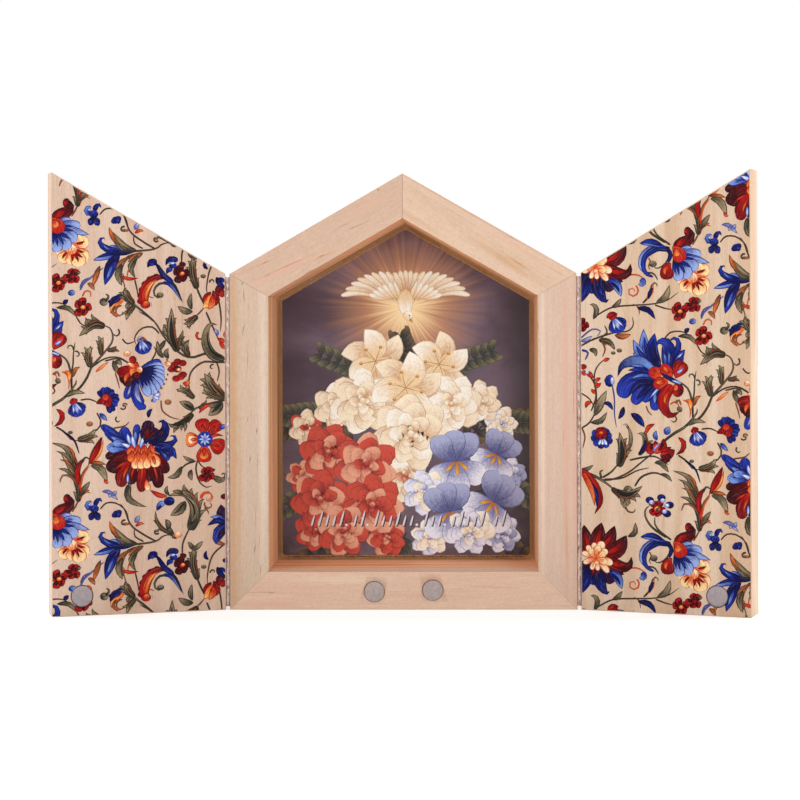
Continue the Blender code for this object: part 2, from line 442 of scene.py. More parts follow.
# %% [markdown]
# The box frame is five lengths of one moulding, mitred at the corners: two stiles, a rail and two
# rafters. A mitred moulding is one profile carried between two corner planes, so a point of the
# profile at some inset runs from one corner of the house outline at that inset to the next. The ends
# are held back by a hair, unevenly, and that is what draws the fine broken lines at the joints.

# %% The gabled outline and the profile
stile_low, stile_high = box_mm("frame_left_stile")
apex_z = box_mm("frame_left_rafter")[1][2]
plate_low, plate_high = box_mm("picture_plate")
HALF = -stile_low[0]
FRONT, BACK = stile_low[1], stile_high[1]
MEMBER = stile_high[0] - stile_low[0]
PITCH_ANGLE = math.radians(30)
EAVE = apex_z - HALF * math.tan(PITCH_ANGLE)
SHOULDER = box_mm("backboard")[0][1] - 0.3
REBATE = 4.0
EASE = 0.45
WALL_LEAN = 0.5
MITRE_GAP, MITRE_WANDER = 0.028, 0.022


def house(inset):
    """The five corners (x, z) of the gabled outline at an inset, anticlockwise from the lower left:
    the sides come in by the inset, and the roof's apex comes down by inset / cos(pitch)."""
    inset = np.asarray(inset, float)
    side = HALF - inset
    top = HALF * math.tan(PITCH_ANGLE) + EAVE - inset / math.cos(PITCH_ANGLE)
    eave = top - side * math.tan(PITCH_ANGLE)
    zero = np.zeros_like(inset)
    corners = [(-side, inset), (side, inset), (side, eave), (zero, top), (-side, eave)]
    return np.array([np.stack([x, z], -1) for x, z in corners])


def eased(corners, radii, steps=4):
    """A closed outline whose corners are quarter-like curves: each is a quadratic arc from radius
    before the corner to radius after it, P = (1-t)^2 A + 2t(1-t) C + t^2 B."""
    corners = np.asarray(corners, float)
    back = np.roll(corners, 1, axis=0) - corners
    on = np.roll(corners, -1, axis=0) - corners
    radii = np.asarray(radii, float)[:, None]
    start = corners + back / np.linalg.norm(back, axis=1, keepdims=True) * radii
    end = corners + on / np.linalg.norm(on, axis=1, keepdims=True) * radii
    t = np.linspace(0, 1, steps + 1)[None, :, None]
    arcs = (1 - t) ** 2 * start[:, None] + 2 * t * (1 - t) * corners[:, None] + t ** 2 * end[:, None]
    return arcs.reshape(-1, 2)


def profile(face):
    """The moulding's section as (inset, y): the face is so wide, and the wall leans in a little."""
    return eased([(0, BACK), (0, FRONT), (face, FRONT), (MEMBER + WALL_LEAN, SHOULDER),
                  (MEMBER - REBATE, SHOULDER), (MEMBER - REBATE, BACK)],
                 [EASE, EASE, 0.16, 0.1, 0.1, 0.1])


print("member profile", len(profile(MEMBER)), "points; apex at", round(float(apex_z), 2), "mm")

# %% [markdown]
# A length of moulding is a grid, along its run and round its profile. Handled wood is never quite
# true, so its faces wander by a few hundredths, and a nick or two is pressed into its inner arris.

# %% One mitred length
def ripple(seed, *coordinates):
    """A smooth wander between -1 and 1: sines of unlike wavelengths along each coordinate, summed."""
    total = 0
    for order, value in enumerate(coordinates):
        for wave in (1.0, 2.3, 4.1):
            total = total + np.sin(wave * value + 1.7 * seed + 2.1 * order + wave) / (3 * len(coordinates))
    return total


def member(name, corner, seed, material, nicks=()):
    """One mitred length: P(s, k) = A_k + (B_k - A_k) s, where A_k and B_k are the house corners at
    the profile point's inset. nicks are (place along, depth, length) chips out of its inner arris."""
    inset, depth = profile(MEMBER - (0.4 if corner == 0 else 0.1)).T
    start, end = house(inset)[corner], house(inset)[(corner + 1) % 5]
    run = np.linalg.norm(end - start, axis=-1)
    rows = 60
    s = smoothstep(-0.15, 1.15, np.linspace(0, 1, rows))
    s = ((s - s[0]) / (s[-1] - s[0]))[:, None]
    held = (MITRE_GAP + MITRE_WANDER * ripple(seed, inset * 0.9, depth * 0.5)) / run
    s = held + s * (1 - 2 * held)
    flat = start + (end - start) * s[..., None]
    along = (end - start) / run[:, None]
    inward = np.stack([-along[:, 1], along[:, 0]], -1)
    inner = smoothstep(MEMBER - 1.1, MEMBER, inset) * smoothstep(FRONT + 1.4, FRONT, depth)
    dent = sum(cut * np.exp(-((s * run - where) / length) ** 2) for where, cut, length in nicks) \
        if nicks else 0 * s * run
    wave = 0.03 * ripple(seed + 5, s * 9, inset * 0.4)
    flat = flat + inward * (wave * smoothstep(0.1, 1.0, inset) - dent * inner)[..., None]
    y = depth + dent * inner * 0.8 + 0 * s
    points = np.concatenate([flat[..., :1], y[..., None], flat[..., 1:]], -1)
    columns = len(inset)
    ends = [list(range(columns)), list(range((rows - 1) * columns, rows * columns))]
    piece = make_mesh(name, points, [grid_faces(rows, columns, wrap=True), ends], material)
    return face_outwards(piece)


def member_grain(corner):
    """The turn and shift that bring a member's coordinates to its grain: x' = n . (p - P), where n is
    the inward normal of its outer edge and P a point on that edge, by a turn about the y axis."""
    start, end = house(0.0)[corner], house(0.0)[(corner + 1) % 5]
    along = (end - start) / np.linalg.norm(end - start)
    inward = np.array([-along[1], along[0]])
    return (0, math.atan2(inward[1], inward[0]), 0), -float(inward @ start) * MM


# %% [markdown]
# Each length is its own piece of timber, so each gets its own two tones and its own table of marks.

# %% The frame's five members
MEMBERS = {
    "frame_bottom_rail": dict(
        Pale=linear(231, 198, 174), Warm=linear(221, 178, 150), Bands=0.6, Streaks=0.2, Pores=0.15,
        figure="red 5 38.1 .13 .9 0 .75 / red 5 42 .12 6 0 .35 / rosy 1.6 38 .8 9 0 .6 / "
               "amber 6.5 -26 .15 7 .05 .45 / rosy 4 -8 .5 10 .02 .5 / cream 8.5 16 1.2 14 0 .4"),
    "frame_right_stile": dict(
        Pale=linear(216, 186, 166), Warm=linear(210, 168, 142), Bands=0.45, Streaks=0.1, Pores=0.1,
        figure="rosy 3.2 -50 .9 60 0 .75 / rosy .6 -48 .8 60 0 .7 / rosy 8.5 -58 .35 26 0 .6 / "
               "red .95 -60.5 .1 4.5 .01 .65 / red 3.9 -49.4 .09 2.6 0 .45 / red 6.6 -76 .08 3 0 .3 / "
               "amber 3 -20 .35 9 -.02 .4 / red 8.2 -36 .08 5 .01 .3 / cream 9.8 -50 .6 60 0 .45"),
    "frame_right_rafter": dict(
        Pale=linear(222, 190, 164), Warm=linear(213, 174, 144), Bands=0.5, Streaks=0.15, Pores=0.2,
        figure="amber 5.9 -21 .3 3.4 .08 .8 / amber 7.2 -24 1 9 .05 .45 / red .35 -38 .25 26 0 .35 / "
               "rosy 2 -22 .5 10 .03 .6 / amber 9.6 -55 .7 9 0 .35 / red 2.6 -10 .1 3 .04 .4"),
    "frame_left_rafter": dict(
        Pale=linear(214, 181, 158), Warm=linear(206, 168, 143), Bands=0.5, Streaks=0.2, Pores=0.2,
        figure="red 6.45 21.1 .14 6.5 .105 .75 / dark 5.9 14.6 .11 1 .105 .6 / "
               "dark 2.4 15.7 .11 .8 .12 .7 / red 2.2 14 .1 5 .12 .45 / dark 8.9 30.6 .12 1 .1 .75 / "
               "amber 9.2 31 .25 3.4 .1 .6 / dark 4.5 40.6 .09 1.7 .13 .55 / "
               "dark 6.4 42.4 .11 .5 .15 .65 / red 6.7 45 .11 2.6 .15 .6 / "
               "dark .65 54.3 .22 .22 0 .75 / rosy 7 20 .8 12 .1 .6 / rosy 3 50 .8 8 .05 .4"),
    "frame_left_stile": dict(
        Pale=linear(210, 184, 162), Warm=linear(206, 168, 138), Bands=0.35, Streaks=0.1, Pores=0.3,
        figure="amber 1 48 1.4 70 0 .6 / amber 3 34 .5 18 .01 .4 / dark 4.1 80.8 .12 1.7 .22 .7 / "
               "dark 5.3 72.2 .1 3.8 .03 .5 / dark 5.2 54.7 .1 .9 .2 .6 / dark 6.2 56 .09 1.2 0 .35 / "
               "dark 7.9 51.6 .16 .8 .1 .85 / dark 5.9 43.3 .14 .9 .1 .75 / dark 8 42 .1 3 .02 .4 / "
               "dark 7.5 27 .09 3.6 .05 .5 / dark 7.2 17.5 .13 1.1 .2 .8 / "
               "dark 8.6 19.6 .09 1.7 .02 .5 / dark 8.8 11.4 .1 1.4 .02 .6 / "
               "dark 4.2 90.4 .13 1.6 -.05 .7 / dark 3.9 94 .2 .35 .4 .6 / cream 9.6 50 1 60 0 .35"),
}
NICKS = {"frame_left_rafter": [(31.0, 0.35, 1.1)], "frame_right_stile": [(70.0, 0.3, 0.9)]}
for corner, (name, finish) in enumerate(MEMBERS.items()):
    turned, shift = member_grain(corner)
    finish = wood_material(name + "_wood", turned, (shift, 0.013 * corner, 0.37 * corner), recess_shade_inset=MEMBER,
                           **finish)
    piece = member(name + "_moulding", corner, corner + 1, finish, NICKS.get(name, ()))
    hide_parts(name)
    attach(piece, "frame")
print(len(MEMBERS), "members, each of", len(piece.data.polygons), "faces")

# %% [markdown]
# The two frame magnets are let into the rail, so its face needs two round pockets. A cutter the shape
# of the drilled hole is the simplest way, and a Boolean modifier cuts it out of the finished moulding.
# Each pocket was drilled a touch high, which leaves a dark crescent over its magnet.

# %% Pockets for the frame magnets
def ring(radius, steps=48):
    """Points (x, z) of a circle: (r cos a, r sin a)."""
    angle = np.linspace(0, 2 * np.pi, steps, endpoint=False)
    return np.stack([radius * np.cos(angle), radius * np.sin(angle)], -1)


def turned(name, centre, profile, material, steps=48):
    """A turned shape about an axis along y: each (radius, y) of the profile becomes a ring, and the
    first and last rings are closed with a flat disc of faces."""
    rings = [np.insert(ring(radius, steps), 1, y, axis=1) + np.array(centre) for radius, y in profile]
    ends = [list(range(steps)), list(range((len(profile) - 1) * steps, len(profile) * steps))]
    faces = [grid_faces(len(profile), steps, wrap=True), ends]
    return face_outwards(make_mesh(name, np.array(rings), faces, material))


POCKET_PLAY = 0.10
POCKET_RISE = 0.07
rail = bpy.data.objects["frame_bottom_rail_moulding"]
for side in SIDES:
    low, high = box_mm(f"frame_{side}_magnet")
    middle = middle_mm(f"frame_{side}_magnet") + (0, 0, POCKET_RISE)
    radius = (high[0] - low[0]) / 2 + POCKET_PLAY
    cutter = turned("pocket_cutter", middle * (1, 0, 1), [(radius, FRONT - 1), (radius, high[1] + 0.1)], None)
    cut = rail.modifiers.new("pocket", "BOOLEAN")
    cut.operation = "DIFFERENCE"
    cut.object = cutter
    bake_modifiers(rail)
    bpy.data.objects.remove(cutter, do_unlink=True)
print("rail after drilling", len(rail.data.polygons), "faces")

# %% [markdown]
# The doors are plain boards with the grain upright. Their solids are right as they are, so each keeps
# its own shape and only gets wood. A door stands at an angle, and its grain is turned back by that
# angle, so that the pattern is cut by the board's faces as it would be by a saw.

# %% Door boards
hinges = {joint["child"]: joint for joint in frame["joints"]}
door_angle = {side: math.radians(-min(hinges[side + "_door"]["range_deg"])) for side in SIDES}
print("doors stand forward by", {side: round(math.degrees(a), 1) for side, a in door_angle.items()})
DOOR_WOOD = {
    "left": dict(Pale=linear(218, 189, 168), Warm=linear(204, 166, 140), Bands=0.7, Pores=0.25, Streaks=0.25),
    "right": dict(Pale=linear(222, 195, 170), Warm=linear(206, 169, 136), Bands=0.85, Pores=0.2,
                  Streaks=0.2),
}
for side, sense in SIDES.items():
    upright = (0, 0, -sense * door_angle[side])
    made = wood_material(side + "_door_wood", upright, (0.21 * sense, 0.05, 0.4), **DOOR_WOOD[side])
    dress(side + "_door", made)

# %% [markdown]
# The magnets are small nickel-plated discs. A turned profile with a rounded rim gives them their
# thin bright edge. Nickel that has been handled is mottled, so noise moves both its grey and its
# roughness.

# %% The frame's magnets
def nickel(name, dull, bright, worn):
    """Plating that wanders between a dull and a bright grey, with fine specks of a worn one."""
    made, n, shader = new_material(name, roughness=0.42, metallic=0.55)
    place = n.place()
    cloud = n.ramp(n.noise(place, scale=900, detail=4, roughness=0.65), 0.35, 0.68)
    speck = n.ramp(n.noise(place, scale=5200, detail=2), 0.42, 0.7)
    grey = n.mix(cloud, linear(*dull), linear(*bright))
    n.feed(shader["Base Color"], n.mix(n.times(speck, 0.35), grey, linear(*worn)))
    n.feed(shader["Roughness"], n.line(cloud, 0.14, 0.40))
    n.bump(shader, n.noise(place, scale=2600, detail=3), 0.2, 0.00005)
    return made


frame_nickel = nickel("handled_nickel", (182, 168, 166), (200, 186, 180), (150, 138, 140))
# The doors' magnets are the same nickel as the frame's, given a little darker greys as painted shade.
door_nickel_shaded = nickel("door_nickel_painted_darker", (164, 152, 156), (182, 170, 172), (136, 126, 132))
RIM = 0.28
FACE_FROM_HINGE = 0.15


def disc_profile(radius, near, far):
    """Half the section of a disc with a rounded rim: the face, a quarter circle, the side, and back."""
    angle = np.linspace(0, np.pi / 2, 7)
    front = np.stack([radius - RIM + RIM * np.sin(angle), near + RIM - RIM * np.cos(angle)], -1)
    back = np.stack([radius - RIM + RIM * np.cos(angle), far - RIM + RIM * np.sin(angle)], -1)
    return np.concatenate([[(radius * 0.5, near)], front, back, [(radius * 0.5, far)]])


for side in SIDES:
    node = f"frame_{side}_magnet"
    low, high = box_mm(node)
    middle = middle_mm(node)
    half = disc_profile((high[0] - low[0]) / 2, low[1] - middle[1], high[1] - middle[1])
    piece = turned(node + "_disc", middle, half, frame_nickel)
    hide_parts(node)
    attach(piece, "frame")


# %% [markdown]
# The doors' magnets turn with their doors, so each is made about the origin and placed by its door's
# own axes: out from the hinge, up, and into the wood.

# %% The doors' magnets
def door_frame(side):
    """A door's own axes in the row's frame: the hinge point on the base, the direction outwards from
    the hinge across the printed face, and the direction into the door's thickness."""
    sense = SIDES[side]
    angle = door_angle[side]
    hinge = np.array(hinges[side + "_door"]["pos_m"]) / MM
    across = np.array([sense * math.cos(angle), -math.sin(angle), 0.0])
    into = np.array([sense * math.sin(angle), math.cos(angle), 0.0])
    return hinge, across, into


def on_door(side, across, height, depth=0.0):
    """Points on a door from arrays of distance out from its hinge, height, and depth behind its face."""
    hinge, outwards, into = door_frame(side)
    across, height, depth = np.broadcast_arrays(across, height, FACE_FROM_HINGE + depth)
    return (hinge * (1, 1, 0) + depth[..., None] * into + across[..., None] * outwards
            + height[..., None] * np.array([0, 0, 1.0]))


for side in SIDES:
    node = side + "_door_magnet"
    middle = middle_mm(node)
    hinge, outwards, into = door_frame(side)
    reach = (middle - hinge) @ outwards
    sunk = (np.array([v.co for v in frame["nodes"][node].data.vertices]) / MM - hinge) @ into
    radius = (box_mm(node)[1][2] - box_mm(node)[0][2]) / 2
    piece = turned(node + "_disc", (0, 0, 0), disc_profile(radius, sunk.min(), sunk.max()), door_nickel_shaded)
    points = np.array([v.co for v in piece.data.vertices]) / MM
    placed = (hinge * (1, 1, 0) + np.outer(points[:, 0] + reach, outwards)
              + np.outer(points[:, 1], into) + np.outer(points[:, 2] + middle[2], (0, 0, 1)))
    piece.data.vertices.foreach_set("co", (placed * MM).astype(np.float32).ravel())
    face_outwards(piece)
    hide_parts(node)
    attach(piece, side + "_door")
    print(node, "reach", round(float(reach), 2), "sunk", round(float(sunk.min() - FACE_FROM_HINGE), 2))

# %% [markdown]
# Behind the recess lies a thin backboard, and the picture plate is glued to it. Bare board shows all
# round the plate as a darker brown border, rough with glue and sawdust along the bottom. Both solids
# keep their shape. The plate's own material is for its sawn edges, and the picture lies on its face.

# %% Backboard and plate edges
board = wood_material("backboard_wood", (0, 0, 0), (0.1, 0.2, 0.3), Pale=linear(248, 208, 152),
                      Warm=linear(238, 188, 130), Streak=linear(190, 138, 90), Bands=0.8,
                      Pores=0.25, Streaks=0.4)
dress("backboard", board)

edge, n, shader = new_material("plate_edge", roughness=0.8)
saw = n.noise(n.scaled(n.place(), (1500, 9000, 1500)), detail=4, roughness=0.7)
n.feed(shader["Base Color"], n.mix(n.ramp(saw, 0.3, 0.7), linear(168, 116, 70), linear(222, 172, 116)))
n.bump(shader, saw, 0.4, 0.0001)
dress("picture_plate", edge)
print("plate", *(plate_high - plate_low).round(2), "mm")

# %% [markdown]
# Glue was run along the foot of the plate and squeezed out with sawdust in it. The bead is a tube
# whose thickness wanders along its length, half sunk out of sight, in amber specked with dark brown.

# %% Bead of glue
glue, n, shader = new_material("amber_glue", roughness=0.45)
grit = n.noise(n.scaled(n.place(), (1300, 2600, 2600)), detail=4, roughness=0.7)
n.feed(shader["Base Color"], n.mix(n.ramp(grit, 0.42, 0.60), linear(96, 48, 26), linear(206, 150, 84)))
n.bump(shader, grit, 0.6, 0.0001)
LONG, ROUND = 240, 10
across, around = np.meshgrid(np.linspace(plate_low[0] + 0.9, plate_high[0] - 0.6, LONG),
                             np.linspace(0, 2 * np.pi, ROUND + 1)[:-1], indexing="ij")
swell = 0.34 + 0.16 * ripple(4, across * 1.9) + 0.10 * ripple(9, across * 5.3)
swell = swell * smoothstep(0, 1.5, across - across.min()) * smoothstep(0, 1.5, across.max() - across) + 0.02
bead_y = plate_low[1] + 0.75 + swell * 0.9 * np.cos(around)
bead_z = plate_low[2] - 0.10 + 0.08 * ripple(2, across * 1.1) + swell * np.sin(around)
ends = [list(range(ROUND)), list(range((LONG - 1) * ROUND, LONG * ROUND))]
print("bead", round(float(2 * swell.min()), 2), "to", round(float(2 * swell.max()), 2), "mm thick")
bead = make_mesh("plate_glue_bead", np.stack([across, bead_y, bead_z], -1),
                 [grid_faces(LONG, ROUND, wrap=True), ends], glue)
face_outwards(bead)
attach(bead, "frame")

# %% [markdown]
# Each door hangs on one strip of book cloth, which is glued to the frame's side, folds in the gap, and
# is glued to the door's edge. It is one sheet, so it is one grid: a hairpin carried up the height,
# with the weave following its own UV map. It bends round where the door turns.

# %% Book cloth
cloth, n, shader = new_material("book_cloth", roughness=0.85)
weave_uv = n.add("UVMap", settings={"uv_map": "weave"})
u_of, v_of = (n.part(weave_uv, axis) for axis in (0, 1))
THREAD = 0.32
warp, weft = (n.math("SINE", n.times(of, 2 * math.pi / THREAD)) for of in (u_of, v_of))
weave = n.line(n.times(warp, weft), 0.5, 0.5)
soil = n.ramp(n.noise(n.place(), scale=420, detail=4, roughness=0.6), 0.4, 0.75)
tint = n.mix(weave, linear(186, 160, 152), linear(222, 196, 180))
slub = n.scaled(n.place(), (1900, 1900, 700))
fleck = n.noise(slub, detail=3, roughness=0.7)
tint = n.mix(n.times(soil, 0.6), tint, linear(158, 118, 104))
tint = n.mix(n.ramp(fleck, 0.54, 0.66), tint, linear(238, 226, 224))
n.feed(shader["Base Color"], n.mix(n.ramp(fleck, 0.46, 0.36), tint, linear(112, 88, 92)))
n.bump(shader, weave, 0.5, 0.00004)
shader["Sheen Weight"].default_value = 0.2
print("threads", THREAD / 2, "mm apart")

# %% [markdown]
# The strip is worked out in plan first: down the frame's side, round the hinge in an arc of the angle
# that the door leaves, and back along the door. Solidify then gives the cloth its thickness.

# %% Hinge tapes
CLOTH = 0.22
FRAME_LEAF, DOOR_LEAF = 8.5, 9.0
FRAME_START, DOOR_START = 0.45, 0.55
FRAME_SIDE, DOOR_SIDE = 0.16, 0.28
FOLD_RADIUS, FOLD_BACK = 0.30, 0.42


def tape_section(side, steps=11):
    """The hairpin in plan, as distance out from the frame's side and y: down the frame's side, round
    the hinge in a small arc, and back along the door's edge, leaning out by the door's angle."""
    hinge, outwards, into = door_frame(side)
    sense = 1 if outwards[0] > 0 else -1
    axis = np.array([sense * hinge[0] - HALF, hinge[1]])
    lean = np.array([sense * into[0], into[1]])
    out = np.array([sense * outwards[0], outwards[1]])
    down = axis[1] + FRAME_START + FRAME_LEAF * np.linspace(1, 0, steps)
    start = np.stack([np.full(steps, FRAME_SIDE), down], -1)
    angle = np.linspace(np.pi, 2 * np.pi + door_angle[side], 11)[1:-1]
    arc = np.stack([np.cos(angle), np.sin(angle)], -1) * (1.1, 1)
    fold = axis + np.array([0, FOLD_BACK]) + FOLD_RADIUS * arc
    end = axis + out * DOOR_SIDE + lean * np.linspace(DOOR_START, DOOR_LEAF, steps)[:, None]
    return np.concatenate([start, fold, end])


def tape(side):
    """The strip: its section, with distance along it as the weave's u, carried up the height as v."""
    section = tape_section(side)
    sense = SIDES[side]
    run = np.concatenate([[0], np.cumsum(np.linalg.norm(np.diff(section, axis=0), axis=1))])
    low, high = box_mm(side + "_hinge_tape")
    height = np.linspace(low[2], high[2], 96)
    fray = 0.05 * ripple(3 + sense, height * 1.7)
    x = sense * (HALF + section[None, :, 0] + 0 * height[:, None])
    y = section[None, :, 1] + fray[:, None] * (run / run[-1] - 0.5)[None, :]
    z = height[:, None] + 0.08 * ripple(2, run * 1.3)[None, :] + 0 * x
    points = np.stack([x, y, z], -1)
    piece = make_mesh(side + "_cloth_hinge", points, [grid_faces(len(height), len(section))], cloth)
    uv = np.stack(np.broadcast_arrays(run[None, :], height[:, None]), axis=-1).reshape(-1, 2)
    set_uv(piece.data, "weave", uv)
    thick = piece.modifiers.new("cloth", "SOLIDIFY")
    thick.thickness = CLOTH * MM
    thick.offset = 0.0
    bake_modifiers(piece)
    face_outwards(piece)
    return piece, float(run[-1]), float(height[-1] - height[0])


for side, sense in SIDES.items():
    piece, width, length = tape(side)
    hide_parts(side + "_hinge_tape")
    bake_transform(piece)
    print(side, "tape flat", round(width, 2), "x", round(length, 2), "mm")

# %% [markdown]
# The doors carry an old kind of flowered chintz, printed straight on the wood. An image would be the
# usual way, but ink can be drawn as shapes too: every petal, leaf and stem is one "blade", a strip
# whose width swells and shrinks along a smooth line. Blades stay crisp at any distance, and each one
# knows how far along and how far across it a point lies, so the ink can shade from root to tip, with
# a darker outline and fine veins.

# %% A smooth line, and the shapes of a stroke
SHAPES = {"bar": (0.12, 0.35), "leaf": (0.75, 0.95), "petal": (0.9, 0.42), "comma": (0.4, 0.95),
          "ball": (0.5, 0.5), "drop": (0.5, 1.1)}


def through(points, count):
    """A smooth run through the points: cubic pieces whose slope at each point is half the step
    between its neighbours."""
    knot = np.asarray(points, float).reshape(-1, 2)
    slope = np.gradient(knot, axis=0)
    t = np.linspace(0, len(knot) - 1, count)
    index = np.minimum(t.astype(int), len(knot) - 2)
    f = (t - index)[:, None]
    return ((2 * f ** 3 - 3 * f ** 2 + 1) * knot[index] + (f ** 3 - 2 * f ** 2 + f) * slope[index]
            + (3 * f ** 2 - 2 * f ** 3) * knot[index + 1] + (f ** 3 - f ** 2) * slope[index + 1])


print("strokes come as", *SHAPES)

# %% [markdown]
# The pen is a class, because every stroke joins one list and the pattern's origin moves half way. Its
# draw method reads strokes from a table, so that the pattern itself needs hardly any code.

# %% The pen: blades of ink
SWELL, BLEED = 1.10, 0.28


class Pen:
    """Gathers blades of ink in the pattern's own millimetres: x to the right and y up. Ink spreads in
    the wood, so a stroke comes out wider than it is drawn, by a tenth and the bleed."""

    def __init__(self, bleed=BLEED):
        self.blades, self.origin, self.bleed = [], (0, 0), bleed

    def blade(self, ink, width, *points, shape="leaf"):
        """A strip about a line: its half width is width/2 u^p (1-u)^q, scaled to peak at 1, where u is
        the fraction of its length, and p and q come from the shape's name."""
        p, q = SHAPES[shape]
        fine = through(points, 60) + self.origin
        run = np.concatenate([[0], np.cumsum(np.linalg.norm(np.diff(fine, axis=0), axis=1))])
        rows = int(np.clip(run[-1] / 0.8, 9, 30))
        u = (1 - np.cos(np.linspace(0, np.pi, rows))) / 2
        line = np.stack([np.interp(u * run[-1], run, fine[:, axis]) for axis in (0, 1)], -1)
        tangent = np.gradient(line, axis=0)
        tangent /= np.linalg.norm(tangent, axis=1, keepdims=True) + 1e-9
        peak = (p / (p + q)) ** p * (q / (p + q)) ** q
        half = (width * SWELL + self.bleed) / 2 * u ** p * (1 - u) ** q / peak
        v = np.array([-1.0, 0.0, 1.0])
        normal = np.stack([-tangent[:, 1], tangent[:, 0]], -1)
        spread = line[:, None] + normal[:, None] * (half[:, None] * v)[..., None]
        stroke = np.stack(np.broadcast_arrays(u[:, None], (v + 1) / 2), axis=-1)
        self.blades.append((spread.reshape(-1, 2), stroke.reshape(-1, 2), np.repeat(half, 3), rows, ink))

    def stem(self, ink, width, *points):
        self.blade(ink, 0.82 * width - 0.11, *points, shape="bar")

    def petal(self, ink, width, *points):
        self.blade(ink, width, *points, shape="petal")

    def dot(self, ink, x, y, radius, turn=90):
        step = radius * bearing(turn)
        self.blade(ink, 2 * radius, (x, y) - step, (x, y) + step, shape="ball")

    def rosette(self, ink, eye, x, y, radius, petals=5, turn=90):
        """Petals evenly round a centre, and an eye over where they meet."""
        for index in range(petals):
            tip = (x, y) + radius * bearing(turn + 360 * index / petals)
            self.petal(ink, 5.2 * radius / petals, (x, y), tip)
        self.dot(eye, x, y, radius * 0.32)

    def lobed(self, ink, width, lobes, side, *points):
        """A feathery leaf: pairs of long blades leave the line at even steps and bend forward along it,
        the leaf's own blade lies over them, and then two dark ribs and a pale one that follow the line.
        side limits the pairs to the left (1) or the right (-1) of the line."""
        line = through(points, 50)
        ahead = np.gradient(line, axis=0)
        ahead /= np.linalg.norm(ahead, axis=1, keepdims=True)
        for index in range(int(lobes)):
            at = int(49 * (0.02 + 0.76 * index / lobes))
            heading = math.degrees(math.atan2(ahead[at, 1], ahead[at, 0]))
            for hand in (1, -1):
                if side in (0, hand):
                    reach = width * (1.42 - 0.7 * abs(index / lobes - 0.3))
                    places = [line[at]]
                    for lean, step in ((0.24, 0.55), (0.5, 0.42), (1.0, 0.24)):
                        towards = bearing(heading + hand * math.degrees(lean))
                        places.append(places[-1] + step * reach * towards)
                    self.blade(ink, width * 0.46, *places, shape="comma")
        self.blade(ink, width * 0.7, *points)
        across = np.stack([-ahead[:, 1], ahead[:, 0]], -1) * np.sin(np.linspace(0, np.pi, 50))[:, None]
        for shift, tint, rib in ((0.22, "soot", 0.10), (-0.22, "soot", 0.10), (0.02, "straw", 0.09),
                                 (-0.55, "rust", 0.16)):
            self.blade(tint, rib * width - 0.16, *(line + shift * 0.6 * width * across)[4:46:7])

    def curl(self, ink, x, y, width, radius, start, turns, knob=0.0):
        """A tendril: a spiral whose radius falls to a quarter as it winds, with a knob at its end."""
        angle = math.radians(start) + np.linspace(0, 2 * np.pi * turns, 12)
        reach = radius * np.linspace(1, 0.25, 12)
        points = np.stack([x + reach * np.cos(angle), y + reach * np.sin(angle)], -1)
        self.stem(ink, width, *points)
        if knob:
            self.dot(ink, *points[-1], knob)

    def draw(self, table, x=0, y=0):
        """Draws a table of strokes, moved by x and y. A stroke names its kind and its ink, and gives its
        sizes in millimetres and then its points in tenths of one: where it starts, and a step from each
        point to the next. A kind, an ink or sizes that it leaves out stay as in the stroke before."""
        kind, ink, sizes = "leaf", "olive", []
        for stroke in table.strip().replace("\n", ";").split(";"):
            numbers, points = [], []
            for word in stroke.split():
                if "," in word:
                    points.append([float(part) for part in word.split(",")])
                elif word in INKS:
                    ink = word
                elif word.isalpha():
                    kind = word
                else:
                    numbers.append(float(word))
            sizes = numbers or sizes
            points = np.cumsum(points, axis=0) / 10 + (x, y)
            if kind in SHAPES:
                self.blade(ink, *sizes, *points, shape=kind)
            elif kind in ("curl", "dot"):
                getattr(self, kind)(ink, *points[0], *sizes)
            else:
                getattr(self, kind)(ink, *sizes, *points)


# %% [markdown]
# The inks: each is three colours, for a blade's root, its tip and its outline. Chintz has a small
# palette, two blues, two reds, orange to cream, and greens that have browned with age.

# %% Inks
def ink_table(table):
    """A dictionary from lines of a name and nine values: red, green, blue of root, tip and outline."""
    rows = [line.split() for line in table.strip().splitlines()]
    return {name: np.array(values, float).reshape(3, 3) for name, *values in rows}


INKS = ink_table("""
bark 88 68 52  122 98 76  58 42 36
olive 58 54 42  146 126 98  44 40 32
moss 84 76 58  166 146 112  48 42 34
soot 34 32 28  44 40 34  28 24 22
straw 140 122 92  184 162 124  110 92 66
rust 104 66 40  224 108 44  84 44 28
sepia 140 80 48  190 116 72  104 58 38
navy 12 10 64  20 26 112  8 8 42
royal 10 14 84  30 52 162  8 8 50
sky 22 42 146  116 146 216  14 20 96
fade 16 26 122  150 170 224  24 32 118
dive 112 146 220  14 16 84  10 10 54
lilac 92 98 160  176 178 214  58 60 120
ice 160 176 224  238 238 246  70 90 176
plum 28 8 56  48 8 46  14 4 32
crimson 184 18 14  118 4 10  70 2 8
maroon 112 6 12  58 4 14  36 2 10
scarlet 206 42 26  158 10 10  86 4 8
coral 214 66 34  182 24 16  110 14 12
flame 186 30 14  238 128 58  134 16 12
amber 228 112 40  248 190 104  182 52 20
peach 230 110 44  252 218 158  196 44 18
cream 230 124 62  252 228 188  196 74 36
""")
print(len(INKS), "inks")

# %% [markdown]
# Printed ink pools at a stroke's rim and dries in hair-fine veins. Both depend only on the place in
# the stroke, so one group shades every blade, and its colours come with the blade as attributes.

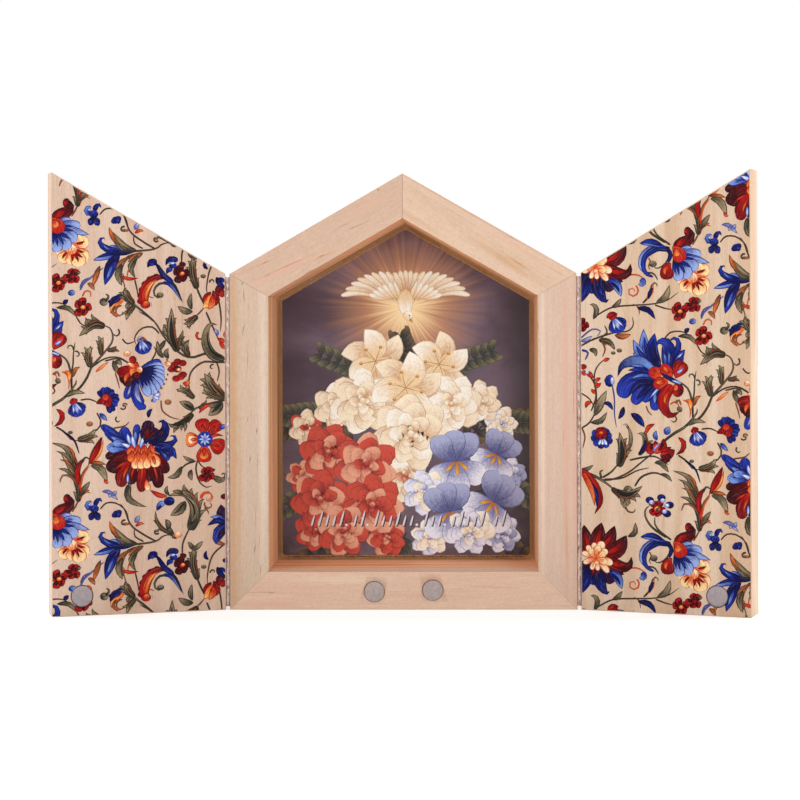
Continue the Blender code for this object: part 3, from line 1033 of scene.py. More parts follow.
# %% How the ink lies
flower_ink, g, given, result = new_group(
    "flower_ink",
    [("Root", "Color", linear(60, 60, 60)), ("Tip", "Color", linear(120, 120, 120)),
     ("Line", "Color", linear(30, 30, 30)), ("Stroke", "Vector", (0, 0, 0)),
     ("Place", "Vector", (0, 0, 0)), ("Brush", "Vector", (1, 0, 0)), ("Outline", "Float", 0.92),
     ("Veins", "Float", 0.75), ("Lights", "Float", 0.55)],
    [("Color", "Color"), ("Ink", "Float")])
along = g.part(given["Stroke"], 0)
across = g.line(g.part(given["Stroke"], 1), 2, -1)
blot = g.noise(given["Place"], scale=1400, detail=3, roughness=0.6)
grit = g.noise(given["Place"], scale=4800, detail=2)
shade = g.ramp(g.line(blot, 0.6, g.minus(along, 0.3)), 0.15, 0.9)
body = g.mix(shade, given["Root"], given["Tip"])
half = g.part(given["Brush"], 0)
seed = g.part(given["Brush"], 1)
edge_gap = g.times(g.minus(1.0, g.math("ABSOLUTE", across)), half)
rim = g.ramp(g.line(blot, -0.24, g.plus(edge_gap, 0.12)), 0.32, 0.15)
hair = g.add("CombineXYZ", X=g.times(along, 2.4), Z=seed,
             Y=g.times(g.times(across, g.plus(half, 0.5)), 2.9))
hairs = g.noise(hair, detail=2, roughness=0.6)
broad = g.ramp(half, 0.35, 0.85)
vein = g.times(g.times(g.ramp(hairs, 0.50, 0.36), g.ramp(along, 1.0, 0.5)), broad)
bright = g.times(g.times(g.ramp(hairs, 0.55, 0.68), g.ramp(edge_gap, 0.18, 0.45)), broad)
bare = g.mix(0.1, given["Tip"], linear(255, 238, 224))
body = g.mix(g.times(bright, given["Lights"]), body, bare)
inked = g.mix(g.times(vein, given["Veins"]), body, given["Line"])
inked = g.mix(g.times(rim, given["Outline"]), inked, given["Line"])
level = g.line(grit, 0.6, 0.7)
g.feed(result["Color"], g.shade(inked, level))
g.feed(result["Ink"], grit)


def ink_material(name, roughness, gloss, **finish):
    """Printed ink, coloured by the blades' own attributes."""
    made, n, shader = new_material(name)
    stroke = n.add("UVMap", settings={"uv_map": "stroke"})
    brush = n.add("Attribute", 1, settings={"attribute_name": "brush"})
    colours = {socket: n.add("Attribute", settings={"attribute_name": name})
               for socket, name in (("Root", "root"), ("Tip", "tip"), ("Line", "line"))}
    node = use_group(n, flower_ink, Stroke=stroke, Place=n.place(), Brush=brush, **colours, **finish)
    n.feed(shader["Base Color"], node.outputs["Color"])
    n.feed(shader["Roughness"], n.line(node.outputs["Ink"], 0.15, roughness - 0.07))
    n.bump(shader, node.outputs["Ink"], 0.15, 0.00003)
    shader["Specular IOR Level"].default_value = gloss
    return made


printed = ink_material("printed_flowers", 0.62, 0.12, Veins=0.85, Lights=0.6)
print("the ink", len(flower_ink.nodes), "nodes")

# %% [markdown]
# The chintz repeats up the cloth every 83 mm, and the two doors show neighbouring parts of it. So the
# pattern is drawn once, 77 mm wide, and each door takes its own window. It goes motif by motif, stems
# first, as a block cutter would lay it out: the line of growth, then leaves, then flowers on top.

# %% Stems and leaves of the near half
REPEAT = 83.4
pen = Pen()


def tally(motif):
    print("with", motif, len(pen.blades), "blades")


draw, leaf, petal, dot = pen.draw, pen.blade, pen.petal, pen.dot
draw("""
stem bark .36 45,12 50,25 65,6 50,3 45,10 35,24; .35 220,44 30,-10 25,-4
olive .5 185,48 19,22 6,26 14,12 4,-14; bark .4 55,379 35,0 50,21 45,35 35,29 40,36; 70,380 50,4 45,22 38,10
olive .45 145,436 35,8 40,4 40,-23; .5 160,362 20,27 35,13 28,-7 23,-15; leaf .8 234,399 20,-5 15,-16
stem crimson .5 44,576 3,38 -4,36 -15,24 -23,22; sepia .3 194,592 6,-16 12,-12
amber 264,596 14,8 10,-8 1,-10; bark 279,564 4,-11 -9,-7 -7,6; amber .35 302,609 14,-7 7,-22 -2,-22
leaf .6 396,606 20,16 18,14; stem sepia .3 156,46 16,-8 4,-22; amber 196,60 18,18 2,26
.35 352,244 12,24 20,-4; sepia .3 202,178 6,-12 -6,-12 6,-12; olive .75 245,492 30,22 35,22 30,36 2,14
.6 310,536 40,24 25,35 11,27 29,32 30,41 -7,35 -28,10; .55 330,560 -2,40 -10,38 -20,18 -33,16
moss .35 328,600 6,30 1,30 5,33; curl .35 1.2 330 .7 324,675; .35 1.1 120 -.7 344,656
stem bark .35 384,618 36,25 40,5 38,-20; 354,528 26,2 26,-11; .4 400,492 12,-26 -8,-20 -24,-16
olive .45 286,454 24,-16 20,-22 20,-2; bark .35 244,776 22,24 34,2 24,-12; .3 342,766 14,-22 18,-8
.45 0,760 40,20 60,19 40,4 17,17 -2,24; .4 32,574 15,44 -6,42 5,34 20,24 20,8; 0,523 26,17 16,26 8,18
.3 0,626 26,-16 17,-28; sepia .4 4,526 9,-26 -7,-34; lilac .35 94,652 7,-42 0,-44 6,-38
olive .5 267,213 -33,23 -15,20 0,22; .6 252,220 -40,26 -20,28 -1,22 13,13
.45 260,206 3,-24 -13,-23 -22,-12 -12,7; amber .35 146,129 20,1 18,-8 2,-14; curl .4 1.9 60 -1.3 155,83
stem bark .35 409,218 17,17 28,-1 26,-20 10,-26; 500,98 -24,-10 -10,-22 2,-20; sepia .4 330,212 16,28 6,30
navy .5 306,440 30,-24 15,-40; sepia .35 352,294 7,26 21,28; curl bark .35 1 200 .8 476,508
.35 1.1 120 .6 462,470; .4 1.4 60 -.65 453,716; stem sepia .3 452,604 7,-22 6,-24
leaf moss 1.6 224,49 28,17 12,34; olive 1.1 93,38 15,6 15,19; navy 1.4 168,36 34,-7 20,-26
.8 202,60 4,18 10,16; olive 1.3 39,3 10,23 -7,18 -14,1; 139,218 21,12 2,30; .9 0,406 20,2 18,12
stem .6 62,382 -4,18 9,6; .8 4,403 46,-19 30,-18 20,-16; leaf 1.8 108,348 18,-18 2,-20 8,-16
moss .9 126,336 12,-18 2,-14; stem .4 132,302 10,-13 16,0 3,10
lobed olive 2.7 5 -1 92,356 28,-16 30,0 33,24; leaf soot .6 100,352 26,-11 24,0 24,13
moss .9 126,348 14,10 16,-6; olive 1.3 218,430 20,0 22,-26; stem .5 64,384 28,18 24,28
bark .3 126,430 19,34 5,36 -6,28 -10,12 -8,-6; leaf moss .9 138,452 11,38 -3,30 -14,16
lobed olive 3 4 0 114,416 10,40 -8,60; leaf soot .7 116,424 9,34 -6,42
lobed moss 2 3 -1 172,452 20,28 -6,30 -18,2; leaf navy .7 171,450 17,24 4,22; moss 2.1 41,560 18,36 19,38
olive 1.3 30,541 30,5 19,26; rust 1.4 102,792 24,-4 24,6; stem bark .45 61,784 19,16 -8,20
lobed olive 2 3 -1 56,780 30,-8 18,-20; stem sepia .45 64,774 10,-22 -8,-22; dot olive .5 98,741; .6 116,748
leaf 1.2 26,750 17,-3 4,-17; moss 1.1 312,537 26,14 30,-4; lobed 2.2 3 0 382,620 -6,30 8,32
1.9 3 1 414,654 -2,30 7,22; bark 1.5 2 -1 430,668 16,2 10,10; olive 2.6 4 0 424,736 -30,6 -44,-34
leaf .9 382,736 -10,8 1,14; 1.2 446,640 6,-20 12,-20 2,-6; 1.1 450,636 14,-2 6,-10
lobed moss 2.2 3 0 346,416 28,4 25,26; dot bark .5 326,437; sepia .75 380,460
leaf olive 1.1 287,789 33,-1 26,-26; ball 1.8 408,806 24,-2; stem .7 424,806 10,14 -8,8
leaf amber 1 310,610 12,-6 2,-24; rust .9 332,592 8,22 14,8
lobed olive 2.5 5 1 350,240 -4,57 -10,54 -22,42 -44,17; leaf moss 1.3 346,280 -16,50 -20,36 -14,18
rust .6 342,320 -22,32 -24,10; 336,346 -2,32 -18,24; olive .8 340,306 -24,24 -24,6; 340,330 -22,40 -32,16
stem sepia .6 344,294 -20,20 -20,2 -8,-20; leaf rust 1 350,250 9,16 21,7; olive 1.3 350,256 16,22 15,20
crimson 347,290 -2,38 11,26 14,10; stem olive .5 358,350 10,16 12,-6; leaf coral .5 356,264 -4,22 -2,24
stem amber .4 354,280 8,36 18,26; leaf .6 382,346 26,30 11,40; rust .5 376,342 12,38 25,44
crimson 1.3 380,348 16,32 20,44; moss 1.8 382,342 28,-8 20,-40; flame .6 420,304 8,-12 6,2
rust .8 380,348 24,2 22,-6; olive 2.1 516,116 -34,7 -26,25 -18,28; rust 1.2 468,132 -22,24 -11,28
straw .5 496,123 -28,17 -16,20; olive 1.3 486,240 2,24 6,32; moss 1.2 464,22 8,18 -2,16
sepia 1 374,24 12,-6 8,-14; curl bark .5 1 60 .7 .45 476,176; stem .4 200,136 18,-4 12,-18
dot olive .95 215,160; stem lilac .4 354,10 8,20 18,10; curl sepia .45 1.9 80 .85 468,776
leaf moss 1 486,840 4,-20 -4,-14; .9 486,760 6,16 -2,14
""")
tally("the near half's leaves")

# %% [markdown]
# Pointed red petals above, blue and purple ones below, and a cream and orange flower in front. It
# comes once in a repeat, so it is a table of strokes about its own heart and not a function. Later
# strokes lie over earlier ones, so it goes from the back petals to the front.

# %% The big chrysanthemum
draw("""
leaf maroon 3.2 -20,6 -24,24 -12,30; 3.4 -14,10 -16,40 -7,42; 3.9 0,16 6,44 10,40; 3.4 12,14 28,40 15,38
4.1 20,4 44,22 26,40; 2.6 24,-20 36,-18 22,-8; comma 3.3 24,-8 46,-16 28,4 6,26
leaf crimson 1.2 -20,20 -10,30 -6,26; 1.4 0,30 6,26 8,28; 1.2 20,30 20,26 10,20; 1.4 30,10 30,18 20,24
1.3 40,-14 30,-5 24,7; petal plum 2.8 -10,-16 -24,-10 -16,-10; leaf navy 3.7 -14,-20 -18,-40 -10,-44
petal 3.2 -4,-24 -4,-28 -4,-28; plum 14,-26 22,-26 16,-18; comma navy 3.6 4,-26 6,-44 18,-30 12,4
leaf royal 1 -18,-40 -12,-30 -8,-24; .9 8,-46 6,-24 10,-20; sky 2.3 38,-40 24,-14 14,-34
navy .6 44,-46 18,-14 10,-18; crimson -8,-30 -4,-24; 4,-30 2,-20; petal cream 1.4 0,0 -21.5,6 -21.5,6
1.6 0,0 -14.5,16 -14.5,16; 0,0 -4,21 -4,21; 2.2 0,0 9.5,23 9.5,23; 1.8 0,0 16.5,11 16.5,11
1.9 0,0 24.5,-8 24.5,-8; 1.6 0,0 18.5,-21 18.5,-21; 1.3 0,0 2.5,-19 2.5,-19; 0,0 -7.5,-18 -7.5,-18
0,0 -19.5,-9 -19.5,-9; peach 1.9 2,-5 -22,27; 2 -.6,-5 6.6,39; 1.9 -2.6,-5 28.6,20; -3.2,-5 35.2,-8
1.3 -.2,-5 2.2,-13
""", 4.6, 15.6)
tally("the chrysanthemum")

# %% [markdown]
# A red heart, a fan of blue petals, a red comma above, and a peony tucked under it.

# %% The fan flower
draw("""
drop maroon 3.2 2,-2 22,14 24,14 8,18 -10,12; leaf crimson 1.6 10,6 20,16 12,6; ball maroon 2.3 32,46 22,2
crimson 1.3 34,47 12,1; petal peach 3.4 56,-70 24,6 24,4; 3 56,-70 18,14 12,8; 50,-84 -20,-6 -15,-8
50,-84 -10,-16 -16,-18; 3.4 54,-86 4,-24 -4,-16; 4.2 56,-84 28,-20 18,-10; 3.8 56,-84 18,-26 6,-22
leaf crimson .5 60,-86 20,-16 10,-4; 60,-90 12,-18 4,-12; .45 56,-92 4,-14 -2,-12; 64,-82 20,-8 10,0
.4 68,-68 16,4 10,4; 46,-90 -12,-12 -4,-8; ball cream 2.8 56,-98 0,29; petal fade 2 8,-20 22,14 26,4
2.4 8,-20 36,6 38,-2; leaf 1.9 8,-24 46,-4 52,-14; petal 3 6,-26 34,-12 32,-20; 3.4 4,-28 24,-24 20,-32
2.8 0,-30 12,-30 7,-32; leaf royal .7 12,-30 22,-14 18,-10; 10,-32 16,-22 10,-18; .6 6,-34 8,-22 4,-20
12,-26 28,-2 24,-4; 12,-24 28,6 20,-1; 0,-32 4,-20 2,-18; petal crimson 3.5 -6,-40 -12,-16 2,-32
leaf flame 1 -10,-48 -14,-12 2,-16; petal coral 3.6 -2,6 16,-16 10,-28; flame 1.8 2,2 8,-10 4,-14
leaf fade 2.1 -14,0 -36,2 -34,-20 -10,-30 10,-22; bar royal 1.3 -9,-2 -41,2 -30,-20 -7,-29 9,-21 20,-10
leaf sky 1.2 -20,4 -40,10 -36,0; royal -30,10 -36,12 -32,-6; bar navy .9 -16,0 9,-18 -7,-22
""", 27.4, 20.3)
tally("the fan flower")

# %% [markdown]
# A large blue flower seen from the side: a fan of curling petals round six red bulbs.

# %% The palmette
draw("""
leaf sky 2.8 -50,40 -34,40 -5,66; 2.6 -54,40 -40,26 -26,50; 2.4 -58,34 -36,16 -26,28
royal 1.2 -50,46 -28,38 -10,42; 1.1 -56,42 -34,26 -22,32; .9 -60,34 -30,16 -18,20; 3.2 -40,36 -24,44 8,54
navy 1.2 -46,46 -16,38 4,36; drop royal 3.9 -20,34 6,38 -10,36 -22,0 -2,-12; leaf sky .8 -24,38 -2,26 -4,16
.7 -16,38 2,26 -2,20; comma royal 1.8 -2,18 2,46 14,34 -8,22 -16,-6 0,-10; leaf 1.9 0,46 14,20 18,22
ice .5 4,50 10,16 12,14; royal 1.5 6,46 14,14 8,10; drop dive 3.4 -50,14 -56,38 -44,-10 -16,-34
leaf sky .8 -64,20 -36,20 -34,0; royal 1.2 -56,18 -40,12 -40,-2; petal 3.2 -40,-8 -30,-22 -24,-30
-44,-6 -46,-20 -30,-42; 4.6 -46,2 -64,0 -32,-22 -8,-32; leaf sky .9 -54,9 -42,5 -34,-12
navy 1.8 -60,-4 -44,-8 -30,-32; 1.2 -54,-10 -32,-20 -24,-26; petal royal 2.8 -34,-10 -16,-30 -8,-46
leaf sky 1.5 -38,-16 -14,-24 -6,-28; petal royal 2.4 -28,-8 -8,-22 -4,-26
leaf ice .5 -40,-16 -18,-20 -12,-14; navy .6 -36,-20 -10,-24 -6,-24; ball coral 3.2 -36,16 -38,10
3 -9,6 -26,40; leaf flame 1.1 -16,18 -15,22; ball coral 3 -18,0 -42,-16; leaf flame 1.4 -24,-2 -30,-6
petal crimson 4 4,6 10,24 14,24; ball coral 1.6 16,24 14,22; comma ice .6 9,22 11,6 6,8
ball crimson 3.4 -6,-24 34,-6; flame 1.5 -4,-16 14,-8; maroon 1.3 12,-30 12,-4
comma crimson 3 -6,-12 -23,-34 -1,-30 19,-23 27,11; leaf flame .9 -12,-26 -14,-22 0,-22
ball olive 1.3 10,-86 12,10; bar sepia .4 2,-64 12,8 6,-14; leaf navy 1 24,-12 -30,14 -34,20
bar ice .5 20,-8 -18,6 -8,2
""", 27.6, 66.4)
tally("the palmette")

# %% [markdown]
# Buds, chicory and small blossoms come more than once, at other sizes and angles, so each is a function.

# %% Buds and blossoms
def bell(x, y, radius, cap, turn):
    """A hanging bud: striped blue petals round a pale top, under a red cap at an angle."""
    heart, tilt = np.array([x, y]), bearing(turn)
    start = heart + tilt * radius
    for spread in (-1.25, 1.25, -0.8, 0.8, -0.3, 0.3):
        lean = bearing(turn + 180 + math.degrees(spread * 0.85))
        petal("royal", radius * 0.95, start, heart + lean * radius * 1.12)
    for spread, reach in ((-0.95, 0.8), (-0.5, 0.5), (-0.1, 0.75), (0.35, 0.5), (0.8, 0.85)):
        lean = bearing(turn + 180 + math.degrees(spread))
        leaf("ice", radius * 0.26, start, heart + reach * radius * lean)
    leaf(cap, radius * 0.95, *[heart + tilt * radius * reach for reach in (0.7, 1.6)])


def chicory(x, y, tips):
    """Narrow petals, each notched into two at its tip, about one side of a red heart."""
    for index, (dx, dy) in enumerate(tips):
        for slip in (0.17, -0.17):
            cos, sin = math.cos(slip), math.sin(slip)
            tip = (x + dx * cos - dy * sin, y + dx * sin + dy * cos)
            petal("royal" if index % 2 else "navy", 1.2, (x, y), tip)
    draw("leaf crimson 1.5 4,4 -16,-5 -17,-8; dot 1.5 0,0; coral .9 -2,9; crimson 4,-9", x, y)


def blossom(ink, x, y, radius, turn, eye="amber"):
    """A small red flower: five pointed petals of uneven length, each with a dark vein, and a yellow
    eye."""
    heart = np.array([x, y])
    for index, (reach, slip) in enumerate(((1.08, 5), (0.94, -8), (1.12, 6), (0.9, 0), (1.02, -6))):
        lean = bearing(turn + 72 * index + slip)
        side = np.array([-lean[1], lean[0]])
        tip = heart + reach * radius * (lean + 0.12 * side)
        petal(ink, 0.74 * radius, heart, heart + 0.55 * radius * lean, tip)
        leaf("maroon", 0.22 * radius, heart, heart + 0.72 * reach * radius * lean)
        vein = heart + 0.78 * radius * (lean - 0.4 * side)
        leaf("maroon", 0.2 * radius, heart + 0.3 * radius * lean, vein)
    dot("maroon", x, y, 0.28 * radius)
    dot(eye, x + 0.08 * radius, y, 0.22 * radius)


# %% [markdown]
# A chintz leaves little of its ground bare, so small flowers fill the gaps between the stems: a call
# of a function where a kind comes again, and a few strokes where it does not.

# %% Small flowers of the near half
blossom("scarlet", 29.2, 2.5, 2.5, 100)
blossom("scarlet", 33.2, 4.4, 2.3, 40, "crimson")
draw("leaf olive .7 342,52 14,3")
blossom("scarlet", 36, 79, 2.6, 80)
blossom("crimson", 0.6, 82, 2.0, 80, "crimson")
draw("leaf crimson 1.3 224,306 -14,7 -10,-1")
blossom("scarlet", 22.7, 30, 2.4, 60)
draw("""
ball crimson 2.2 222,288 10,28; dot amber .7 226,300; leaf olive .5 222,292 10,14; dot navy 1.02 204,324
ice .6 209,318; navy 1.02 238,332; ice .6 242,324; navy 1.02 262,312; ice .6 254,310; navy 1.02 254,287
ice .6 247,293
""")
bell(11, 82.2, 2.3, "crimson", 120)
draw("leaf crimson 1.2 78,840 16,12 18,0")
bell(34.4, 50.3, 2.1, "crimson", 112)
draw("""
stem lilac .4 0,782 34,26 26,-4 -10,-16; leaf .9 0,774 18,4 18,12; stem sky .6 4,749 19,-7 -9,-22
leaf coral .8 43,660 18,10; 45,640 17,16; 41,670 -26,12; 44,624 -12,14; 16,676 -16,14; 68,718 20,8
42,650 12,4; 36,670 -10,19; dot crimson .8 9,701; ice .5 20,685; leaf coral 1 33,599 -13,-3 -5,-14
ball royal 1.9 94,646 -12,14 12,18; ice .9 96,650 -2,22; leaf royal 1 69,596 15,0 13,-18
""")
for angle in range(10, 370, 36):
    reach = 3.4 if angle > 150 else 3.0
    petal("royal" if angle % 72 == 10 else "navy", 1.6, (6.4, 50.3), (6.4, 50) + reach * bearing(angle))
draw("petal ice .7 66,500 -12,-22; 66,500 0,-22; 66,500 12,-22")
pen.rosette("crimson", "flame", 6.1, 51.1, 1.8, 6, 90)
draw("""
leaf royal 1.7 149,569 21,-13 20,-26; navy .8 150,568 16,-16 20,-20; 1.2 129,588 -7,-22 -10,-14
coral 1 194,512 6,18 20,11; sky 1.1 226,494 -6,14 4,14; 1.7 250,510 12,24; crimson 2 216,456 -14,14 4,20
1.8 220,460 2,20 -2,14; 1.9 228,460 16,16 0,24; coral 2.6 208,468 40,6; maroon .5 216,460 -6,16 2,12
230,464 10,14 2,12; ice .4 212,462 12,14 12,12; crimson 2.8 234,450 20,4 24,14
maroon 1.7 246,454 2,-12 16,-6; 1.3 248,450 20,-2; crimson .9 236,464 14,4 18,8
1.2 287,504 16,-14 -3,-22 -20,-14; ball sky 1.3 320,828 20,6; leaf navy 1 306,800 15,12
stem amber .4 360,820 10,17 14,-5 -1,-14; comma 1.5 476,812 -26,-14 -7,-20 21,-15
leaf rust .6 454,796 -9,-20 15,-16; petal navy 1.6 436,788 10,20 22,10; dot .6 440,806; 450,815; 464,822
""")
chicory(42.7, 52.6, ((-1.9, 3.1), (-0.4, 3.9), (1.5, 3.4), (2.6, 2.0), (3.7, 0.9), (3.4, -0.9), (1.8, -3.4)))
draw("""
leaf sky 1 408,490 12,-12 10,-10; petal maroon 2.6 490,600 -24,-8; crimson 2.4 486,590 4,32
plum 1.9 484,590 2,-22; leaf navy .9 488,576 5,-42; petal royal 2 498,392 -44,34 -42,30
leaf sky 1.8 498,390 -46,26 -12,18; petal 1.9 498,390 -36,10 -34,-12; royal 2.4 494,396 -20,24 10,30
maroon 2.2 498,386 -42,-10 -32,-12; 3.2 496,374 -40,-24 -26,-24; crimson 498,370 -22,-40 -12,-42
maroon 2.6 504,370 -6,-40 0,-34; flame 1.9 482,390 12,-30; leaf lilac 1 414,268 20,-2 26,-24
.9 446,254 8,16; .8 440,264 -6,-14
""")
draw("""
comma sky 1.1 0,4 -17,-2 -4,12 9,8 8,-5; leaf ice .5 -8,16 -8,-6; comma royal 1.1 2,8 6,14 10,4 3,-9
ball 2.2 0,-11 1,22; petal navy 1.6 0,-6 -8,-16 -8,-4; 1.7 3,-6 7,-16 9,-3; 70,-25 -18,12; 1.6 71,-28 -4,23
royal 1.1 76,-24 -10,8
""", 39.2, 22)
draw("""
leaf navy .8 446,106 30,3 34,8; sky 1.7 464,110 -38,-9 -40,-12; royal .6 456,109 -32,-4 -30,-10
petal sky 2 470,110 -20,9 -20,5; drop royal 1.7 466,110 -34,9 -22,13 -5,15 12,6 3,-8
leaf sky .6 446,116 -22,8 -12,14; royal 2.7 462,108 -24,-32 -19,-58; sky .9 444,86 -10,-26 -10,-28
navy .8 450,96 -22,-26 -11,-38
""", 0.4, 0)
draw("""
stem lilac .5 354,4 10,20 19,15 37,30; leaf rust 1.2 410,74 -10,-26 -11,-34; sky 1.6 187,122 -3,-18 -12,-2
crimson 1.7 0,410 26,-22 26,-42 6,-34 -18,-34; flame 1.3 0,402 18,-26 16,-32 8,-42
navy 1 32,370 15,-32 1,-40; stem cream .3 10,396 22,-32 11,-40
""")
tally("the near half")

# %% [markdown]
# The other half of the repeat carries the two-tone flower, the half fan and the five-petalled rose.
# It is measured from its own right edge, so its x values are below 0.

# %% Stems and leaves of the far half
pen.origin = (77.2, -8.55)
draw("""
stem bark .45 -204,207 -36,21 -36,28 -18,44 -12,18; olive .5 -310,200 60,2 45,6 21,14 30,6
bark .35 -240,208 -25,16 -1,26; lobed olive 1.4 3 1 -152,223 -34,19 -18,28 -2,26
leaf 1 -152,222 -18,24 -8,24; stem bark .35 -242,196 -36,-8 -22,-18 -6,-30; -264,120 6,-26 4,-24
sepia -250,194 -38,-18 -14,-40 10,-38 -12,-22; leaf .9 -284,184 -22,-18 -14,-38
stem amber .3 -260,166 -22,-20 -4,-32; olive .6 -208,0 -32,28 -30,26 -24,36
bark .4 -130,170 2,30 16,36 18,34; olive .5 -64,48 -16,32 -14,40 -8,40
bark .4 -4,196 -32,-26 -14,-26 -8,-44 2,-24; .45 -60,28 12,-28 14,-30 12,-26; .4 -24,66 6,-36 2,-30 -3,-30
olive .6 0,725 -30,5 -30,12 -40,-11 -36,13 -44,46 -30,46 -44,28
bark .5 0,716 -35,1 -35,0 -33,-27 -7,-40 12,-36; .35 -30,718 8,-28 -7,-30
olive .5 -2,608 -48,-10 -40,-13 -22,-21 -28,-20; sepia .35 -190,610 4,-30 26,-20 26,-6
bark .4 -194,800 -21,19 -31,-5 -18,-24 2,-20; .35 -300,786 14,-14 22,6; -350,723 40,7 30,-16
.4 -85,438 -5,-28 10,-36 20,-16 16,4; .3 -84,434 10,-14 10,-6; olive .45 -90,434 -30,-10 -24,-26
curl amber .4 2.2 190 -.8 -56,329; .3 2 190 -1.1 -54,326; sepia .4 1.5 150 .8 -52,308
stem .35 -66,300 10,-10 2,-10; curl bark .35 .9 60 .7 -42,702; sepia .35 .8 0 .9 -294,596
stem coral .7 -82,804 -6,-10 6,-10 10,0; curl bark .4 .9 200 -.7 -41,114; stem sepia .35 -326,532 32,6 14,12
bark -216,724 12,24 -6,16; lobed olive 3 6 0 -104,236 15,44 -9,36 -26,26 -48,-6
drop 2.7 -110,236 16,40 -6,36 -30,28; stem soot .5 -106,250 13,30 -7,30 -20,22
straw .35 -102,260 13,26 -7,24; leaf olive 2.3 -120,320 -16,-24 -28,-16
stem soot .3 -124,314 -14,-18 -18,-12; leaf coral 1.1 -172,336 -22,2 -28,16; olive .8 -166,338 -10,12 4,16
1 -126,338 -12,8 -20,4; 1.1 -172,240 4,16 -8,14; dot .75 -151,220; cream .9 -142,224
curl olive .45 .9 330 -.8 .4 -204,236; leaf rust 1.3 -240,196 -20,-10 -24,-16
moss 1.4 -254,190 -22,-34 14,-32; olive .8 -258,180 -16,-34 10,-20; coral .7 -304,130 24,-8 26,2
olive 1.5 -300,166 -12,-32 12,-32; lobed 2.2 3 0 -266,50 -18,18 -12,24; moss 1.8 2 0 -264,46 -16,-16 -9,-26
leaf olive .9 -274,56 -12,-10 -2,-10; 1.6 -98,28 -22,2 -22,14; 1.2 -101,34 -6,22 5,26
lobed 2 3 0 -84,16 -16,-12 -16,-22; stem sepia .35 -86,18 12,12 10,12
lobed olive 2.4 4 0 -86,94 -12,46 2,56; leaf moss 1.1 -98,176 12,12 16,16; olive 1 -100,180 -6,14 -8,9
navy .8 -54,150 -10,10 4,17; dot olive .6 -68,130; leaf 1.3 -158,778 -18,22 -7,24
lobed 3 5 0 -142,748 -17,48 0,78; leaf soot .7 -144,754 -15,44 -1,58
lobed olive 1.6 2 -1 -142,752 8,28 8,30; 2.1 3 0 -110,733 -10,23 8,24; leaf 1.1 -176,782 -18,-24 -6,22
1.2 -168,728 -8,16 8,14; -182,730 -12,16 -8,32; comma 2.4 -6,724 -34,12 -20,32 0,34 12,24 22,-2
stem soot .4 -16,730 -28,18 -12,32 0,24; lobed olive 3.3 4 0 -6,612 -32,30 -28,44
moss 2 3 0 -10,612 -36,12 -24,26; 1.9 3 0 -94,614 -24,20 -30,6; leaf olive 1.9 -94,580 -22,16 -22,9
soot .4 -98,584 -28,15; lobed olive 1.5 2 0 -80,582 12,10 18,0; leaf 2.6 -12,602 -22,-23 -20,-15
soot .5 -16,598 -30,-28; olive 1.2 -20,600 -24,-8 -16,6; lobed 2.2 3 0 -98,570 -24,-21 -28,-15 -21,10
leaf soot 1 -106,562 -24,-18 -34,-6; coral .8 -46,596 -20,-8 -16,-18; olive -128,550 8,-12 -2,-20
dot sepia .8 -170,604; leaf navy .9 -226,560 2,16 10,10; drop olive 1.6 -284,372 0,-38 24,-18 30,-10
leaf 1.4 -130,420 -16,-26 -26,-6; 1.2 -103,410 -4,-16 6,-16; moss .8 -94,436 -16,2 -18,12
olive 1.5 -42,390 22,-13 18,9; curl .5 .9 270 .8 -12,392; stem .6 -166,106 -24,4 -18,-16 0,-18 12,-8 12,8
dot .8 -192,76; leaf sepia 1 -6,192 -24,8 -14,16
""")
tally("the far half's leaves")

# %% [markdown]
# Blue petals curl up behind, maroon ones hang down in front, and rows of small orange scales
# overlap between them.

# %% The two-tone flower
x, y = -24.9, 47.1
draw("""
comma royal 2 -24,6 -44,22 -26,18 -12,26; leaf sky 1.3 -36,10 -32,18 -20,12; petal 2.2 -28,4 -36,2 -25,-8
leaf royal .7 -36,8 -24,4 -22,-4; petal sky 2 -28,8 -24,10 -26,-1; royal 2.2 -24,10 -12,26 -10,22
leaf ice .8 -28,14 -6,18 -3,14; petal navy 1.8 12,10 -2,30 2,24; royal 1.7 -10,10 -2,30 4,32
leaf sky 1.2 -12,12 -4,22 4,20; ice .9 -14,2 -6,18 -4,22; .8 0,2 4,18 8,20; .9 -18,0 -18,10 -20,8
.7 6,0 10,14 16,12; petal plum 3.2 16,12 4,38 6,32; 3 24,14 12,26 10,20; leaf maroon 1.6 18,30 2,20 -2,16
1.3 28,30 8,14 2,12; drop navy 3 26,14 34,22 12,26 -10,18 -12,-6; leaf plum 1.4 40,26 18,14 6,20
drop royal 1.5 46,8 42,6 14,14 -10,10 -10,-6; comma 2.8 40,4 44,-6 20,-28; leaf sky 1 50,2 30,-6 16,-16
petal royal 2.2 46,0 22,-14 8,-22; leaf sky .8 56,-4 14,-12 4,-12; petal navy 1.8 58,0 24,-12 6,-12
leaf maroon 1.8 -30,-8 -30,-10 -34,-8; petal 2.9 -20,-14 -40,-22 -24,-28; 2.6 -30,-10 -34,-18 -22,-16
crimson 3.1 -16,-20 -26,-34 -16,-52; maroon 2.9 -6,-24 -18,-36 -2,-40; 2.6 42,-10 18,-26 16,-34
3 30,-20 16,-40 6,-52; 2.5 14,-24 8,-38 2,-32; crimson 6,-24 -2,-46 -1,-52
leaf flame .5 -30,-40 -14,-26 -6,-24; coral .6 6,-40 -2,-34 -1,-30; .5 -16,-44 -8,-26 -1,-18
36,-44 10,-30 4,-22; -40,-34 -22,-14 -12,-10; ice -36,-68 0,-30; petal peach 1.4 16,-86 6,-32
""", x, y)
